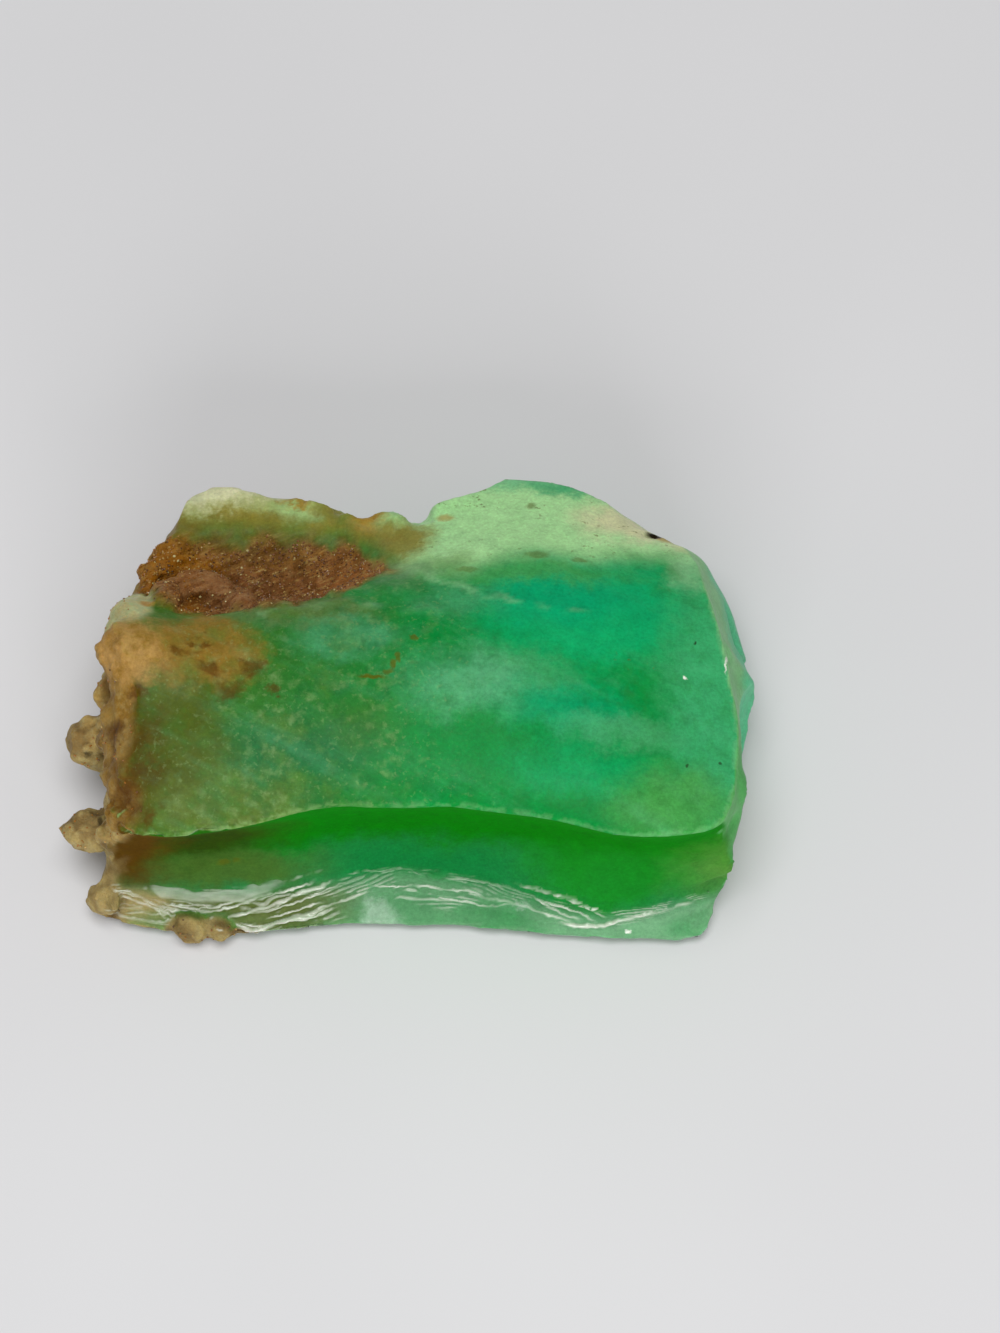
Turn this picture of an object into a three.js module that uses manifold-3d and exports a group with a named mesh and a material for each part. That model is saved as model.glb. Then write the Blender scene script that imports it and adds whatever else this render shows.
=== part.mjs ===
// Raw chrysoprase: one broken lump of apple-green chalcedony with its brown crust.
// Millimetres, +Z up, resting on a flat fracture face at z = 0.
//
// The lump is a loft. Its key contours are closed curves round the stone, from the
// resting face up over the walls to the middle of the top face. Rows of vertices run
// between them, and the botryoidal knobs of the crust are joined on with manifold-3d.

import * as THREE from 'three';
import { mergeVertices } from 'three/addons/utils/BufferGeometryUtils.js';
import { ImprovedNoise } from 'three/addons/math/ImprovedNoise.js';
import Module from 'manifold-3d';

// ---------------------------------------------------------------- driving dimensions

const HALF_LENGTH = 21.0;        // X, of the ellipse that the contours are measured round
const HALF_DEPTH = 14.0;         // Y, of the same ellipse
const LIP_HEIGHT = 12.3;         // sharp front edge of the top face
const FACE_HEIGHT = 14.0;        // middle of the top face
const RIDGE_HEIGHT = 11.2;       // ridge between the top face and the right flank
const FLANGE_HEIGHT = 6.8;       // outer edge of the thin rear lobe
const POCKET_FLOOR = 7.5;        // brown hollow behind the top face
const FOOT_HEIGHT = 3.0;         // crest of the flared foot under the front scoop
const EDGE_HEIGHT = 0.8;         // bottom edge of the foot

const COLUMNS = 112;             // vertices in each full contour
const EVENING_PASSES = 2;        // evening out of each row of the top face, for each row inward

const CRUST_ROUGHNESS = 0.42;    // height of the bumps on the crust
const BREAK_ROUGHNESS = 0.20;    // height of the bumps on the back and the underside
const FACE_ROUGHNESS = 0.05;     // swell of the smooth faces

// ---------------------------------------------------------------- key contours
// Each point is [x, y, z], counterclockwise from the right end, seen from above.

// The flat fracture face that the stone rests on.
const RESTING_FACE = [
  [18.0, -3.0], [17.5, 4.0], [14.5, 9.5], [9.0, 11.6], [3.0, 11.2], [-4.0, 10.8],
  [-12.0, 10.0], [-15.4, 6.0], [-16.5, 0.0], [-16.8, -6.0], [-17.5, -10.8],
  [-13.0, -11.6], [-6.0, -11.2], [2.0, -11.0], [10.0, -11.7], [16.5, -11.8], [17.6, -8.0],
].map(([x, y]) => [x, y, 0]);

// The bottom edge, sharp along the front where the foot flares out.
const BOTTOM_EDGE = [
  [19.8, -1.0, 1.6], [19.5, 3.0, 1.6], [18.3, 7.0, 1.6], [16.5, 10.0, 1.4], [13.0, 12.0, 1.2],
  [8.0, 13.0, 1.1], [2.0, 12.6, 1.1], [-4.0, 12.3, 1.2], [-10.0, 12.4, 1.2], [-14.2, 10.6, 1.3],
  [-16.6, 7.0, 1.5], [-17.6, 2.0, 1.6], [-17.9, -3.0, 1.6], [-18.0, -7.0, 1.4], [-18.6, -9.6, 1.2],
  [-19.4, -11.4, 1.0], [-17.6, -12.2, EDGE_HEIGHT], [-15.1, -12.7, EDGE_HEIGHT],
  [-12.4, -13.0, EDGE_HEIGHT], [-7.9, -12.7, EDGE_HEIGHT], [-2.8, -12.2, EDGE_HEIGHT],
  [1.7, -12.3, EDGE_HEIGHT], [6.6, -12.8, EDGE_HEIGHT], [10.8, -13.1, EDGE_HEIGHT],
  [13.8, -13.2, EDGE_HEIGHT], [17.7, -13.2, EDGE_HEIGHT], [18.3, -11.2, 1.2], [19.0, -9.0, 1.5],
  [19.3, -5.0, 1.6],
];

// The crest of the foot in front, and the widest line of the sides and the back.
const FOOT_CREST = [
  [21.0, -0.6, 4.5], [21.0, 1.0, 4.5], [20.3, 4.4, 4.5], [19.9, 6.5, 4.5], [19.0, 8.3, 4.2],
  [17.8, 10.0, 3.8], [15.5, 11.5, 3.0], [12.0, 13.4, 2.8], [8.5, 14.6, 2.6], [5.0, 14.8, 2.6],
  [1.5, 13.6, 2.8], [-2.0, 12.6, 3.0], [-6.0, 13.4, 3.0], [-10.0, 13.8, 3.0], [-13.3, 12.7, 3.0],
  [-15.6, 9.8, 3.2], [-17.0, 7.0, 3.5], [-18.1, 3.0, 4.0], [-18.4, -1.0, 4.5], [-18.4, -4.5, 4.5],
  [-18.2, -7.5, 4.2], [-18.4, -9.6, 3.4], [-17.8, -10.4, FOOT_HEIGHT], [-15.2, -10.5, FOOT_HEIGHT],
  [-12.7, -10.8, 2.8], [-9.7, -11.0, 2.8], [-6.7, -10.7, 2.8], [-3.7, -10.1, FOOT_HEIGHT],
  [-0.7, -9.6, 3.4], [2.3, -9.8, 3.2], [5.3, -10.2, FOOT_HEIGHT], [7.8, -10.9, 2.8],
  [11.4, -12.0, 2.3], [13.8, -12.0, 2.3], [15.6, -11.4, 2.6], [17.3, -10.9, FOOT_HEIGHT],
  [19.0, -10.5, 3.2], [19.3, -8.2, 4.0], [19.5, -6.3, 4.0], [20.3, -4.9, 4.5], [20.6, -2.1, 4.5],
];

// Half-way up the walls: the bottom of the scoop that runs along the front.
const WALL_MIDDLE = [
  [20.0, -3.0, 8.0], [19.7, 0.5, 8.0], [19.1, 3.5, 8.0], [18.6, 6.5, 7.8], [17.4, 9.3, 7.0],
  [15.5, 11.2, 5.5], [12.2, 13.6, 4.8], [9.0, 14.9, 4.5], [5.3, 15.4, 4.5], [2.2, 14.4, 4.6],
  [0.5, 11.8, 5.5], [-2.0, 12.0, 6.0], [-5.5, 13.2, 5.5], [-9.0, 13.9, 5.5], [-12.5, 14.0, 5.5],
  [-14.4, 11.9, 6.0], [-15.6, 9.3, 6.3], [-16.7, 7.0, 6.5], [-17.9, 3.5, 8.0], [-18.2, -1.0, 8.5],
  [-18.1, -4.0, 8.0], [-18.0, -7.0, 7.5], [-17.4, -9.2, 7.8], [-15.0, -9.6, 8.0],
  [-12.0, -9.3, 8.0], [-8.0, -8.9, 8.0], [-4.0, -8.2, 8.0], [0.0, -8.0, 8.0], [4.0, -8.2, 8.0],
  [8.0, -8.8, 8.0], [12.0, -9.7, 7.8], [16.0, -10.0, 7.5], [18.7, -9.6, 7.5], [19.5, -8.3, 8.0],
  [20.1, -7.1, 8.0],
];

// The upper edge: the sharp lip in front, the ridge at the right, the rear lobes' edges.
const UPPER_EDGE = [
  [19.4, -3.9, RIDGE_HEIGHT], [18.8, 0.4, RIDGE_HEIGHT], [18.5, 2.0, RIDGE_HEIGHT],
  [17.9, 4.7, 11.0], [17.4, 6.6, 10.5], [16.8, 8.5, 9.5], [15.4, 10.3, 8.0], [13.9, 11.2, 7.5],
  [11.8, 13.4, 7.0], [9.2, 14.5, FLANGE_HEIGHT], [5.3, 14.9, FLANGE_HEIGHT],
  [2.7, 14.4, FLANGE_HEIGHT], [1.6, 13.0, 7.1], [0.9, 11.1, 8.0], [-1.6, 11.4, 8.8],
  [-3.1, 11.6, 8.5], [-4.7, 11.8, 8.0], [-5.8, 13.2, 7.8], [-9.2, 13.3, 7.8], [-11.2, 13.8, 7.8],
  [-12.7, 13.5, 7.8], [-13.9, 12.2, 8.0], [-14.5, 10.6, 8.3], [-15.4, 9.2, 8.5], [-16.6, 6.8, 9.2],
  [-17.9, 2.8, 12.0], [-18.0, 0.8, 12.5], [-18.0, -1.6, 12.0], [-17.9, -2.8, 11.0],
  [-17.9, -5.6, 11.0], [-17.6, -8.2, 11.0], [-17.3, -9.8, 11.5], [-15.8, -10.7, 11.8],
  [-13.3, -10.9, 12.0], [-10.6, -10.5, 12.0], [-8.5, -10.1, 12.2], [-6.3, -9.4, 12.2],
  [-3.4, -9.1, LIP_HEIGHT], [1.9, -9.1, LIP_HEIGHT], [5.3, -9.5, LIP_HEIGHT],
  [8.0, -9.9, LIP_HEIGHT], [10.0, -10.4, LIP_HEIGHT], [11.7, -10.9, 12.2], [13.5, -11.0, 12.1],
  [16.1, -10.7, 12.0], [18.0, -10.2, 11.5], [18.9, -8.3, RIDGE_HEIGHT], [19.3, -5.7, RIDGE_HEIGHT],
];

// Just inside the upper edge.
const EDGE_SHOULDER = [
  [18.2, -3.9, 11.5], [17.7, 0.4, 11.5], [17.2, 3.0, 11.5], [16.5, 6.0, 10.9], [15.6, 8.2, 9.9],
  [14.0, 9.9, 8.6], [11.4, 11.9, 8.0], [8.8, 13.1, 7.7], [5.3, 13.6, 7.7], [3.0, 13.0, 7.8],
  [1.8, 11.2, 8.5], [0.6, 10.4, 9.0], [-1.6, 10.9, 9.2], [-4.5, 11.0, 8.6], [-6.5, 12.0, 8.2],
  [-9.5, 12.2, 8.2], [-12.0, 12.3, 8.3], [-13.6, 11.0, 8.4], [-14.5, 9.6, 8.6], [-15.4, 7.6, 9.0],
  [-16.6, 5.0, 11.0], [-17.3, 2.4, 13.6], [-17.4, 0.4, 14.0], [-17.3, -2.0, 13.2],
  [-17.2, -5.0, 12.6], [-16.8, -7.6, 12.4], [-15.6, -9.3, 12.5], [-13.2, -9.7, 12.7],
  [-10.0, -9.2, 12.9], [-6.0, -8.2, 12.9], [-2.0, -7.8, 13.0], [2.0, -7.8, 13.0],
  [6.0, -8.3, 13.0], [10.0, -9.1, 12.9], [13.5, -9.7, 12.8], [16.0, -9.5, 12.5],
  [17.4, -8.4, 11.7], [18.0, -6.0, 11.5],
];

// The far rim of the brown pocket, and the middle of the rear lobe.
const POCKET_RIM = [
  [16.5, -3.6, 12.0], [16.0, 0.4, 12.1], [15.3, 3.0, 12.0], [14.6, 5.6, 11.5], [13.6, 7.6, 10.6],
  [12.0, 9.2, 9.6], [9.5, 10.8, 9.1], [6.5, 11.6, 8.9], [4.0, 11.2, 9.0], [2.4, 9.8, 9.6],
  [0.6, 9.3, 9.8], [-1.6, 9.8, 9.2], [-4.6, 9.8, 8.2], [-7.8, 10.0, 8.0], [-10.4, 9.8, 8.0],
  [-12.6, 9.2, 8.0], [-14.0, 7.8, 8.2], [-14.8, 6.2, 9.0], [-15.6, 4.2, 12.3], [-16.0, 2.0, 14.2],
  [-15.9, -1.0, 13.9], [-15.7, -4.0, 13.4], [-15.0, -6.4, 13.3], [-13.0, -7.8, 13.4],
  [-9.5, -7.4, 13.5], [-5.0, -6.4, 13.5], [0.0, -6.1, 13.5], [5.0, -6.4, 13.4], [10.0, -7.4, 13.2],
  [13.8, -7.8, 12.8], [15.8, -6.6, 12.3],
];

// The near side of the pocket's floor, and the top of the rear lobe.
const POCKET_BED = [
  [14.5, -3.0, 12.7], [14.0, 0.6, 12.8], [13.0, 3.2, 12.5], [12.0, 5.4, 11.9], [10.5, 7.0, 11.3],
  [8.0, 8.1, 11.1], [5.4, 8.4, 11.0], [3.0, 8.0, 11.0], [1.0, 7.6, 11.0], [-0.6, 7.4, 10.6],
  [-2.5, 7.5, 9.2], [-5.0, 7.3, 7.8], [-8.0, 7.0, POCKET_FLOOR], [-10.6, 6.6, POCKET_FLOOR],
  [-12.4, 5.8, 7.8], [-13.4, 4.6, 9.6], [-14.0, 3.0, 13.2], [-14.0, 0.4, 14.1],
  [-13.6, -3.0, 13.7], [-12.0, -5.0, 13.8], [-8.5, -5.2, 13.9], [-4.0, -4.6, 13.9],
  [0.0, -4.4, 13.8], [5.0, -4.6, 13.6], [10.0, -5.2, 13.4], [13.0, -4.8, 13.0],
];

// The top of the pocket's wall, and the crease behind the top face.
const CREASE = [
  [11.5, -2.0, 13.1], [11.0, 0.8, 13.1], [10.0, 2.6, 13.0], [8.2, 4.4, 12.7], [6.0, 5.6, 12.5],
  [3.5, 5.8, 12.4], [1.0, 5.8, 12.3], [-0.8, 5.8, 12.2], [-3.9, 4.8, 12.4], [-6.5, 4.0, 12.6],
  [-9.5, 3.3, 12.8], [-11.6, 2.8, 13.2], [-12.2, 1.2, 13.7], [-11.6, -1.5, 13.9],
  [-10.0, -2.8, FACE_HEIGHT], [-6.0, -3.1, FACE_HEIGHT], [0.0, -2.9, FACE_HEIGHT],
  [5.0, -3.0, 13.9], [9.5, -3.0, 13.5],
];

// The crown of the top face.
const CROWN = [
  [7.5, -1.2, 13.7], [7.0, 0.6, 13.7], [5.0, 2.0, 13.5], [1.0, 2.6, 13.4], [-3.0, 2.3, 13.4],
  [-7.0, 1.4, 13.6], [-7.6, 0.0, 13.8], [-6.0, -1.3, FACE_HEIGHT], [0.0, -1.6, FACE_HEIGHT],
  [5.0, -1.6, 13.9],
];

// Rows of cells between each contour and the next one up.
const WALL_CONTOURS = [BOTTOM_EDGE, FOOT_CREST, WALL_MIDDLE, UPPER_EDGE];
const WALL_ROWS = [3, 3, 3];
const FACE_CONTOURS = [UPPER_EDGE, EDGE_SHOULDER, POCKET_RIM, POCKET_BED, CREASE, CROWN];
const FACE_ROWS = [1, 2, 2, 3, 2];

// ---------------------------------------------------------------- knobs of the crust
// Each knob is its centre and its half-sizes: [x, y, z, along X, along Y, along Z].

const KNOBS = [
  [-16.1, 0.6, 12.8, 2.2, 2.0, 2.4],      // the high tan knob at the upper left corner
  [-14.0, -0.6, 12.9, 1.5, 1.4, 1.5],
  [-12.2, -1.2, 13.3, 1.1, 0.9, 0.9],
  [-16.9, -2.8, 11.0, 1.4, 1.3, 1.5],
  [-17.0, -6.2, 10.2, 1.3, 1.5, 1.4],
  [-16.6, -8.9, 10.6, 1.3, 1.3, 1.3],
  [-19.4, -2.2, 5.6, 1.6, 1.6, 1.8],      // the two knobs that stand out at the left
  [-19.3, -7.4, 4.3, 1.7, 1.3, 1.6],
  [-18.5, -10.9, 1.9, 1.1, 1.1, 1.1],
  [-13.3, -12.5, 1.2, 1.1, 1.0, 1.0],     // small ones on the bottom edge
  [-11.4, -12.6, 1.1, 0.8, 0.7, 0.8],
  [-14.8, 8.6, 7.4, 1.3, 1.2, 1.5],       // the corner of the pocket
  [-12.8, 5.2, 8.3, 2.3, 1.5, 1.7],       // the rounded lobe in the pocket
  [-9.4, 5.6, 7.4, 1.6, 1.2, 1.2],
  [-1.7, 10.9, 8.2, 1.5, 1.0, 1.2],       // the ochre bump between the rear lobes
  [-6.0, 12.4, 7.2, 1.2, 1.0, 1.1],
  [-8.5, 13.4, 3.2, 2.2, 1.3, 1.7],       // the back
  [-13.6, 11.6, 3.4, 1.9, 1.5, 1.8],
  [-15.9, 7.8, 4.2, 1.5, 1.7, 1.8],
];

// Smaller knobs cover the wall at the left end, one at every few cells of the loft.
const CRUST_ROWS = [3, 5, 7];
const CRUST_COLUMNS = { from: 46, to: 68, step: 4 };
const SMALL_KNOB = 1.0;          // half-size, before it is varied

// Small hollows: the dark pit near the edge of the rear lobe.
const PITS = [
  [14.6, 10.4, 8.3, 0.65, 0.4, 0.6],
];

// ---------------------------------------------------------------- the loft

const noise = new ImprovedNoise();

// Rises smoothly from 0 to 1 as the value goes from one limit to the other, either way.
function smoothStep(from, to, value) {
  return THREE.MathUtils.smoothstep((value - from) / (to - from), 0, 1);
}

// A closed curve through the contour's points, as a function of the angle round the stone.
function contourCurve(points) {
  const knots = points.map(([x, y, z]) => {
    const u = x / HALF_LENGTH;
    const v = y / HALF_DEPTH;
    return { angle: (Math.atan2(v, u) + 2 * Math.PI) % (2 * Math.PI), values: [Math.hypot(u, v), z] };
  });
  knots.sort((a, b) => a.angle - b.angle);
  const count = knots.length;

  const span = (i) => {
    const next = knots[(i + 1) % count].angle;
    const here = knots[i % count].angle;
    return (next - here + 2 * Math.PI) % (2 * Math.PI);
  };
  const slope = (i, axis) => {
    const rise = knots[(i + 1) % count].values[axis] - knots[i % count].values[axis];
    return rise / span(i % count);
  };
  // Flat at a turning point, so that the curve never overshoots its points.
  const tangent = (i, axis) => {
    const before = slope((i + count - 1) % count, axis);
    const after = slope(i, axis);
    return before * after <= 0 ? 0 : (2 * before * after) / (before + after);
  };

  return (angle) => {
    let i = count - 1;
    for (let k = 0; k < count - 1; k++) {
      if (knots[k].angle <= angle && angle < knots[k + 1].angle) i = k;
    }
    const width = span(i);
    const t = ((angle - knots[i].angle + 2 * Math.PI) % (2 * Math.PI)) / width;
    const [scale, z] = [0, 1].map((axis) => {
      const start = knots[i].values[axis];
      const end = knots[(i + 1) % count].values[axis];
      const leave = tangent(i, axis) * width;
      const arrive = tangent((i + 1) % count, axis) * width;
      return (2 * t ** 3 - 3 * t ** 2 + 1) * start + (t ** 3 - 2 * t ** 2 + t) * leave
        + (3 * t ** 2 - 2 * t ** 3) * end + (t ** 3 - t ** 2) * arrive;
    });
    return new THREE.Vector3(
      scale * HALF_LENGTH * Math.cos(angle),
      scale * HALF_DEPTH * Math.sin(angle),
      z,
    );
  };
}

// Rows of points from the first contour to the last, smooth across the ones between.
function loftRows(contours, rowCounts) {
  const curves = contours.map(contourCurve);
  const rows = [];
  const total = rowCounts.reduce((sum, n) => sum + n, 0);
  for (let r = 0; r <= total; r++) rows.push([]);
  for (let column = 0; column < COLUMNS; column++) {
    const angle = (2 * Math.PI * column) / COLUMNS;
    const profile = new THREE.CatmullRomCurve3(curves.map((curve) => curve(angle)), false, 'centripetal');
    let row = 0;
    rowCounts.forEach((n, step) => {
      for (let k = 0; k < n; k++) {
        rows[row++].push(profile.getPoint((step + k / n) / rowCounts.length));
      }
    });
    rows[row].push(profile.getPoint(1));
  }
  return rows;
}

// A closed row with each point drawn towards its two neighbours, some number of times.
function evenedRow(points, passes) {
  let row = points;
  for (let pass = 0; pass < passes; pass++) {
    row = row.map((p, i) => {
      const before = row.at(i - 1);
      const after = row[(i + 1) % row.length];
      return p.clone().multiplyScalar(2).add(before).add(after).divideScalar(4);
    });
  }
  return row;
}

// The crown closes in rows of fewer and fewer points round one middle point.
function closingRows(rim, middle) {
  const rows = [];
  let points = rim;
  for (const share of [0.72, 0.45, 0.2]) {
    const inner = [];
    for (let i = 0; i + 1 < points.length; i += 2) {
      const outer = rim[(i * rim.length) / points.length];
      inner.push(middle.clone().lerp(outer, share));
    }
    rows.push(inner);
    points = inner;
  }
  return rows;
}

// How bumpy the stone is at a point: the crust at the left and in the pocket is rough,
// the back and the underside are an old break, and the other faces are smooth.
function roughness(p) {
  const leftCrust = smoothStep(-12.5, -17, p.x) * smoothStep(1, 4, p.z);
  const inPocket = smoothStep(1.5, -3, p.x) * smoothStep(4.5, 6, p.y) * smoothStep(12, 9.5, p.z);
  const crust = Math.max(leftCrust, inPocket);
  const back = smoothStep(10, 13, p.y) * smoothStep(7, 5, p.z);
  return Math.max(FACE_ROUGHNESS, crust * CRUST_ROUGHNESS, back * BREAK_ROUGHNESS);
}

// Moves a point of the loft by the stone's own unevenness.
function weathered(p) {
  const height = roughness(p);
  const coarse = noise.noise(p.x * 0.35, p.y * 0.35, p.z * 0.35);
  const fine = noise.noise(p.x * 0.65 + 7, p.y * 0.65, p.z * 0.65);
  const swell = height * (1.5 * coarse + 1.1 * fine);
  const outward = new THREE.Vector3(p.x, p.y * 1.6, (p.z - 5) * 2).normalize();
  return p.clone().addScaledVector(outward, swell);
}

class Shell {
  constructor() {
    this.positions = [];
    this.faces = [];
  }

  addRow(points) {
    const first = this.positions.length / 3;
    points.forEach((p) => this.positions.push(p.x, p.y, p.z));
    return { first, count: points.length };
  }

  // Joins a row to the next one inward, which has as many points or half as many.
  join(outer, inner) {
    const ratio = outer.count / inner.count;
    for (let i = 0; i < inner.count; i++) {
      const next = (i + 1) % inner.count;
      const a = outer.first + i * ratio;
      const b = outer.first + ((i + 1) * ratio) % outer.count;
      const c = inner.first + i;
      const d = inner.first + next;
      if (ratio === 1) {
        this.faces.push(a, b, d, a, d, c);
      } else {
        const middle = a + 1;
        this.faces.push(a, middle, c, middle, d, c, middle, b, d);
      }
    }
  }

  closeWithPoint(row, point) {
    const centre = this.addRow([point]).first;
    for (let i = 0; i < row.count; i++) {
      this.faces.push(row.first + i, row.first + ((i + 1) % row.count), centre);
    }
  }

  closeFlat(row, points) {
    const outline = points.map((p) => new THREE.Vector2(p.x, p.y));
    for (const [a, b, c] of THREE.ShapeUtils.triangulateShape(outline, [])) {
      this.faces.push(row.first + a, row.first + c, row.first + b);
    }
  }
}

function stoneShell(wall) {
  const shell = new Shell();
  const [resting] = loftRows([RESTING_FACE, BOTTOM_EDGE], [1]);
  const face = loftRows(FACE_CONTOURS, FACE_ROWS)
    .map((row, index) => evenedRow(row, index * EVENING_PASSES))
    .slice(1);
  const middle = new THREE.Vector3(0, 0.3, FACE_HEIGHT - 0.1);
  const crown = closingRows(face.at(-1), middle);

  const base = shell.addRow(resting);
  let previous = base;
  for (const points of [...wall, ...face, ...crown]) {
    const row = shell.addRow(points.map(weathered));
    shell.join(previous, row);
    previous = row;
  }
  shell.closeWithPoint(previous, middle);
  shell.closeFlat(base, resting);
  return shell;
}

// ---------------------------------------------------------------- solids

const wasm = await Module();
wasm.setup();

function solidOf(positions, faces) {
  return new wasm.Manifold(new wasm.Mesh({
    numProp: 3,
    vertProperties: new Float32Array(positions),
    triVerts: new Uint32Array(faces),
  }));
}

// A lumpy ball with as many cells along an edge as its detail asks for.
function knobSolid([x, y, z, halfX, halfY, halfZ], detail) {
  const ball = new THREE.IcosahedronGeometry(1, detail);
  ball.deleteAttribute('normal');
  ball.deleteAttribute('uv');
  const geometry = mergeVertices(ball);
  const position = geometry.attributes.position;
  const p = new THREE.Vector3();
  for (let i = 0; i < position.count; i++) {
    p.fromBufferAttribute(position, i);
    const bump = 1 + 0.3 * noise.noise(p.x * 1.7 + x, p.y * 1.7 + y, p.z * 1.7 + z);
    p.multiplyScalar(bump).multiply(new THREE.Vector3(halfX, halfY, halfZ));
    position.setXYZ(i, p.x + x, p.y + y, p.z + z);
  }
  return solidOf(position.array, geometry.index.array);
}

function crustKnobs(wall) {
  const knobs = [];
  for (const row of CRUST_ROWS) {
    for (let column = CRUST_COLUMNS.from + (row % 4); column < CRUST_COLUMNS.to; column += CRUST_COLUMNS.step) {
      const { x, y, z } = wall[row][column];
      const size = SMALL_KNOB * (1 + 0.8 * noise.noise(x * 1.3, y * 1.3, z * 1.3));
      knobs.push([x + 0.4 * size, y, z, size, size, size]);
    }
  }
  return knobs;
}

function stoneGeometry() {
  const wall = loftRows(WALL_CONTOURS, WALL_ROWS);
  const shell = stoneShell(wall);
  let stone = solidOf(shell.positions, shell.faces);
  for (const knob of KNOBS) stone = stone.add(knobSolid(knob, 2));
  for (const knob of crustKnobs(wall)) stone = stone.add(knobSolid(knob, 1));
  for (const pit of PITS) stone = stone.subtract(knobSolid(pit, 1));
  const mesh = stone.getMesh();
  const geometry = new THREE.BufferGeometry();
  geometry.setAttribute('position', new THREE.BufferAttribute(new Float32Array(mesh.vertProperties), 3));
  geometry.setIndex(new THREE.BufferAttribute(new Uint32Array(mesh.triVerts), 1));
  geometry.computeBoundingBox();
  const box = geometry.boundingBox;
  geometry.translate(-(box.min.x + box.max.x) / 2, -(box.min.y + box.max.y) / 2, 0);
  geometry.computeVertexNormals();
  return geometry;
}

// ---------------------------------------------------------------- the part

const chalcedony = new THREE.MeshStandardMaterial({ color: 0x2fa36a, roughness: 0.38, metalness: 0 });

const chrysoprase = new THREE.Mesh(stoneGeometry(), chalcedony);
chrysoprase.name = 'chrysoprase';

const part = new THREE.Group();
part.name = 'raw_chrysoprase';
part.add(chrysoprase);

export default part;
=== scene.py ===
"""Raw chrysoprase: the finished stone, the grains of its crust and the stage it lies on."""

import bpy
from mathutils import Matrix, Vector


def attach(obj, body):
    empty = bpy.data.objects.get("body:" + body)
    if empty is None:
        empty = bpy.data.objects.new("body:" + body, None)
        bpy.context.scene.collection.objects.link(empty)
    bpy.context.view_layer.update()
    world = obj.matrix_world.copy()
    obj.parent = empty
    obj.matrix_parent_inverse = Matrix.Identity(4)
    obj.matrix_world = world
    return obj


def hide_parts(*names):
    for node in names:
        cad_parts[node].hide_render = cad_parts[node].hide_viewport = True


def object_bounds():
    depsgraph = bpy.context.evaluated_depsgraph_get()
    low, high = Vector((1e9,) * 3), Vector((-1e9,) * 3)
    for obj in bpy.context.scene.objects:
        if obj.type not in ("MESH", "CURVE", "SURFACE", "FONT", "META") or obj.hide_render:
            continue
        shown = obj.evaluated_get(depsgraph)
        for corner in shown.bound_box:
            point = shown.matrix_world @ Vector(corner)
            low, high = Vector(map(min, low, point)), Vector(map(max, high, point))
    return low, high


bl_info = {
    "name": "Raw Chrysoprase",
    "version": (1, 0, 0),
    "blender": (4, 5, 0),
    "location": "3D Viewport > Sidebar > Chrysoprase",
    "description": "Finishes a rough lump of chrysoprase on its measured solid",
    "category": "Add Mesh",
}

import itertools
import math

import bmesh
import bpy
import numpy as np
from bpy.props import FloatProperty, FloatVectorProperty, IntProperty, PointerProperty
from mathutils import Matrix, Vector
from mathutils.bvhtree import BVHTree
from mathutils.kdtree import KDTree

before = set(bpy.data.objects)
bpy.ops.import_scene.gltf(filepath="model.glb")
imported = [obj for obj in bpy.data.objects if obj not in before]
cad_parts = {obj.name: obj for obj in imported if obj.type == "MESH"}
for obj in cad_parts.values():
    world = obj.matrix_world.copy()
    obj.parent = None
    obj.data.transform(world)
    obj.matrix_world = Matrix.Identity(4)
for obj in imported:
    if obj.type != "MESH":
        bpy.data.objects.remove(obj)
bpy.context.view_layer.update()
CAD_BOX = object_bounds()

MM = 0.001  # the measures below are in millimetres, the scene is in metres
NODE = "chrysoprase"

WELD_GAP = 0.002  # the solid's corners closer than this are one, mm
CREASE_ANGLE = 38.0  # edges of the solid bent more than this stay sharp, degrees
INNER_CREASE = 0.6  # how sharp the hollow ones of them stay
SHARP_ANGLE = 30.0  # edges of the rounded solid bent more than this can chip, degrees
LIP_FRONT, FLANK_FROM, REAR_FROM, LOW_EDGE = -8.8, 15.5, 9.5, 2.5  # where edges chip, mm
TOP_FROM = 9.0  # the top face's own edges are above this and in front of it, mm
SCAR_RINGS = (0.02, 0.16)  # height of a scar's rings, and their spacing over 2 pi, mm
FLAT_PASSES = 24  # rounds of smoothing that take out the loft's flats
FLOOR_HALF = 1.5  # half the floor's side, m

# ---------------------------------------------------------------- lines on the stone
# Places are [x, y, z] or [x, y] in millimetres.

# The bend where the front scoop turns out into the foot.
TOE_LINE = np.array([
    [-19, -11.3, 3.1], [-12.6, -11.7, 3], [-8.8, -11.8, 3.1], [-6.5, -11.4, 3.2], [-3.6, -11, 3.3],
    [-0.6, -10.5, 3.6], [1.4, -10.7, 3.4], [3.6, -11, 3.1], [6.1, -11.6, 2.8], [8.2, -12.2, 2.6],
    [11.5, -13, 2.3], [13.8, -12.8, 2.6], [17.8, -11.9, 2.9], [20, -11.5, 3],
])

# The bottom edge of the foot.
FOOT_LINE = np.array([
    [-19.5, -12.4, 1], [-15, -13.6, 0.8], [-7.8, -13.7, 0.8], [-2.7, -13.2, 0.8],
    [1.8, -13.3, 0.8], [6.7, -13.8, 0.8], [13.9, -14.2, 0.8], [20, -14.2, 0.8],
])

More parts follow.
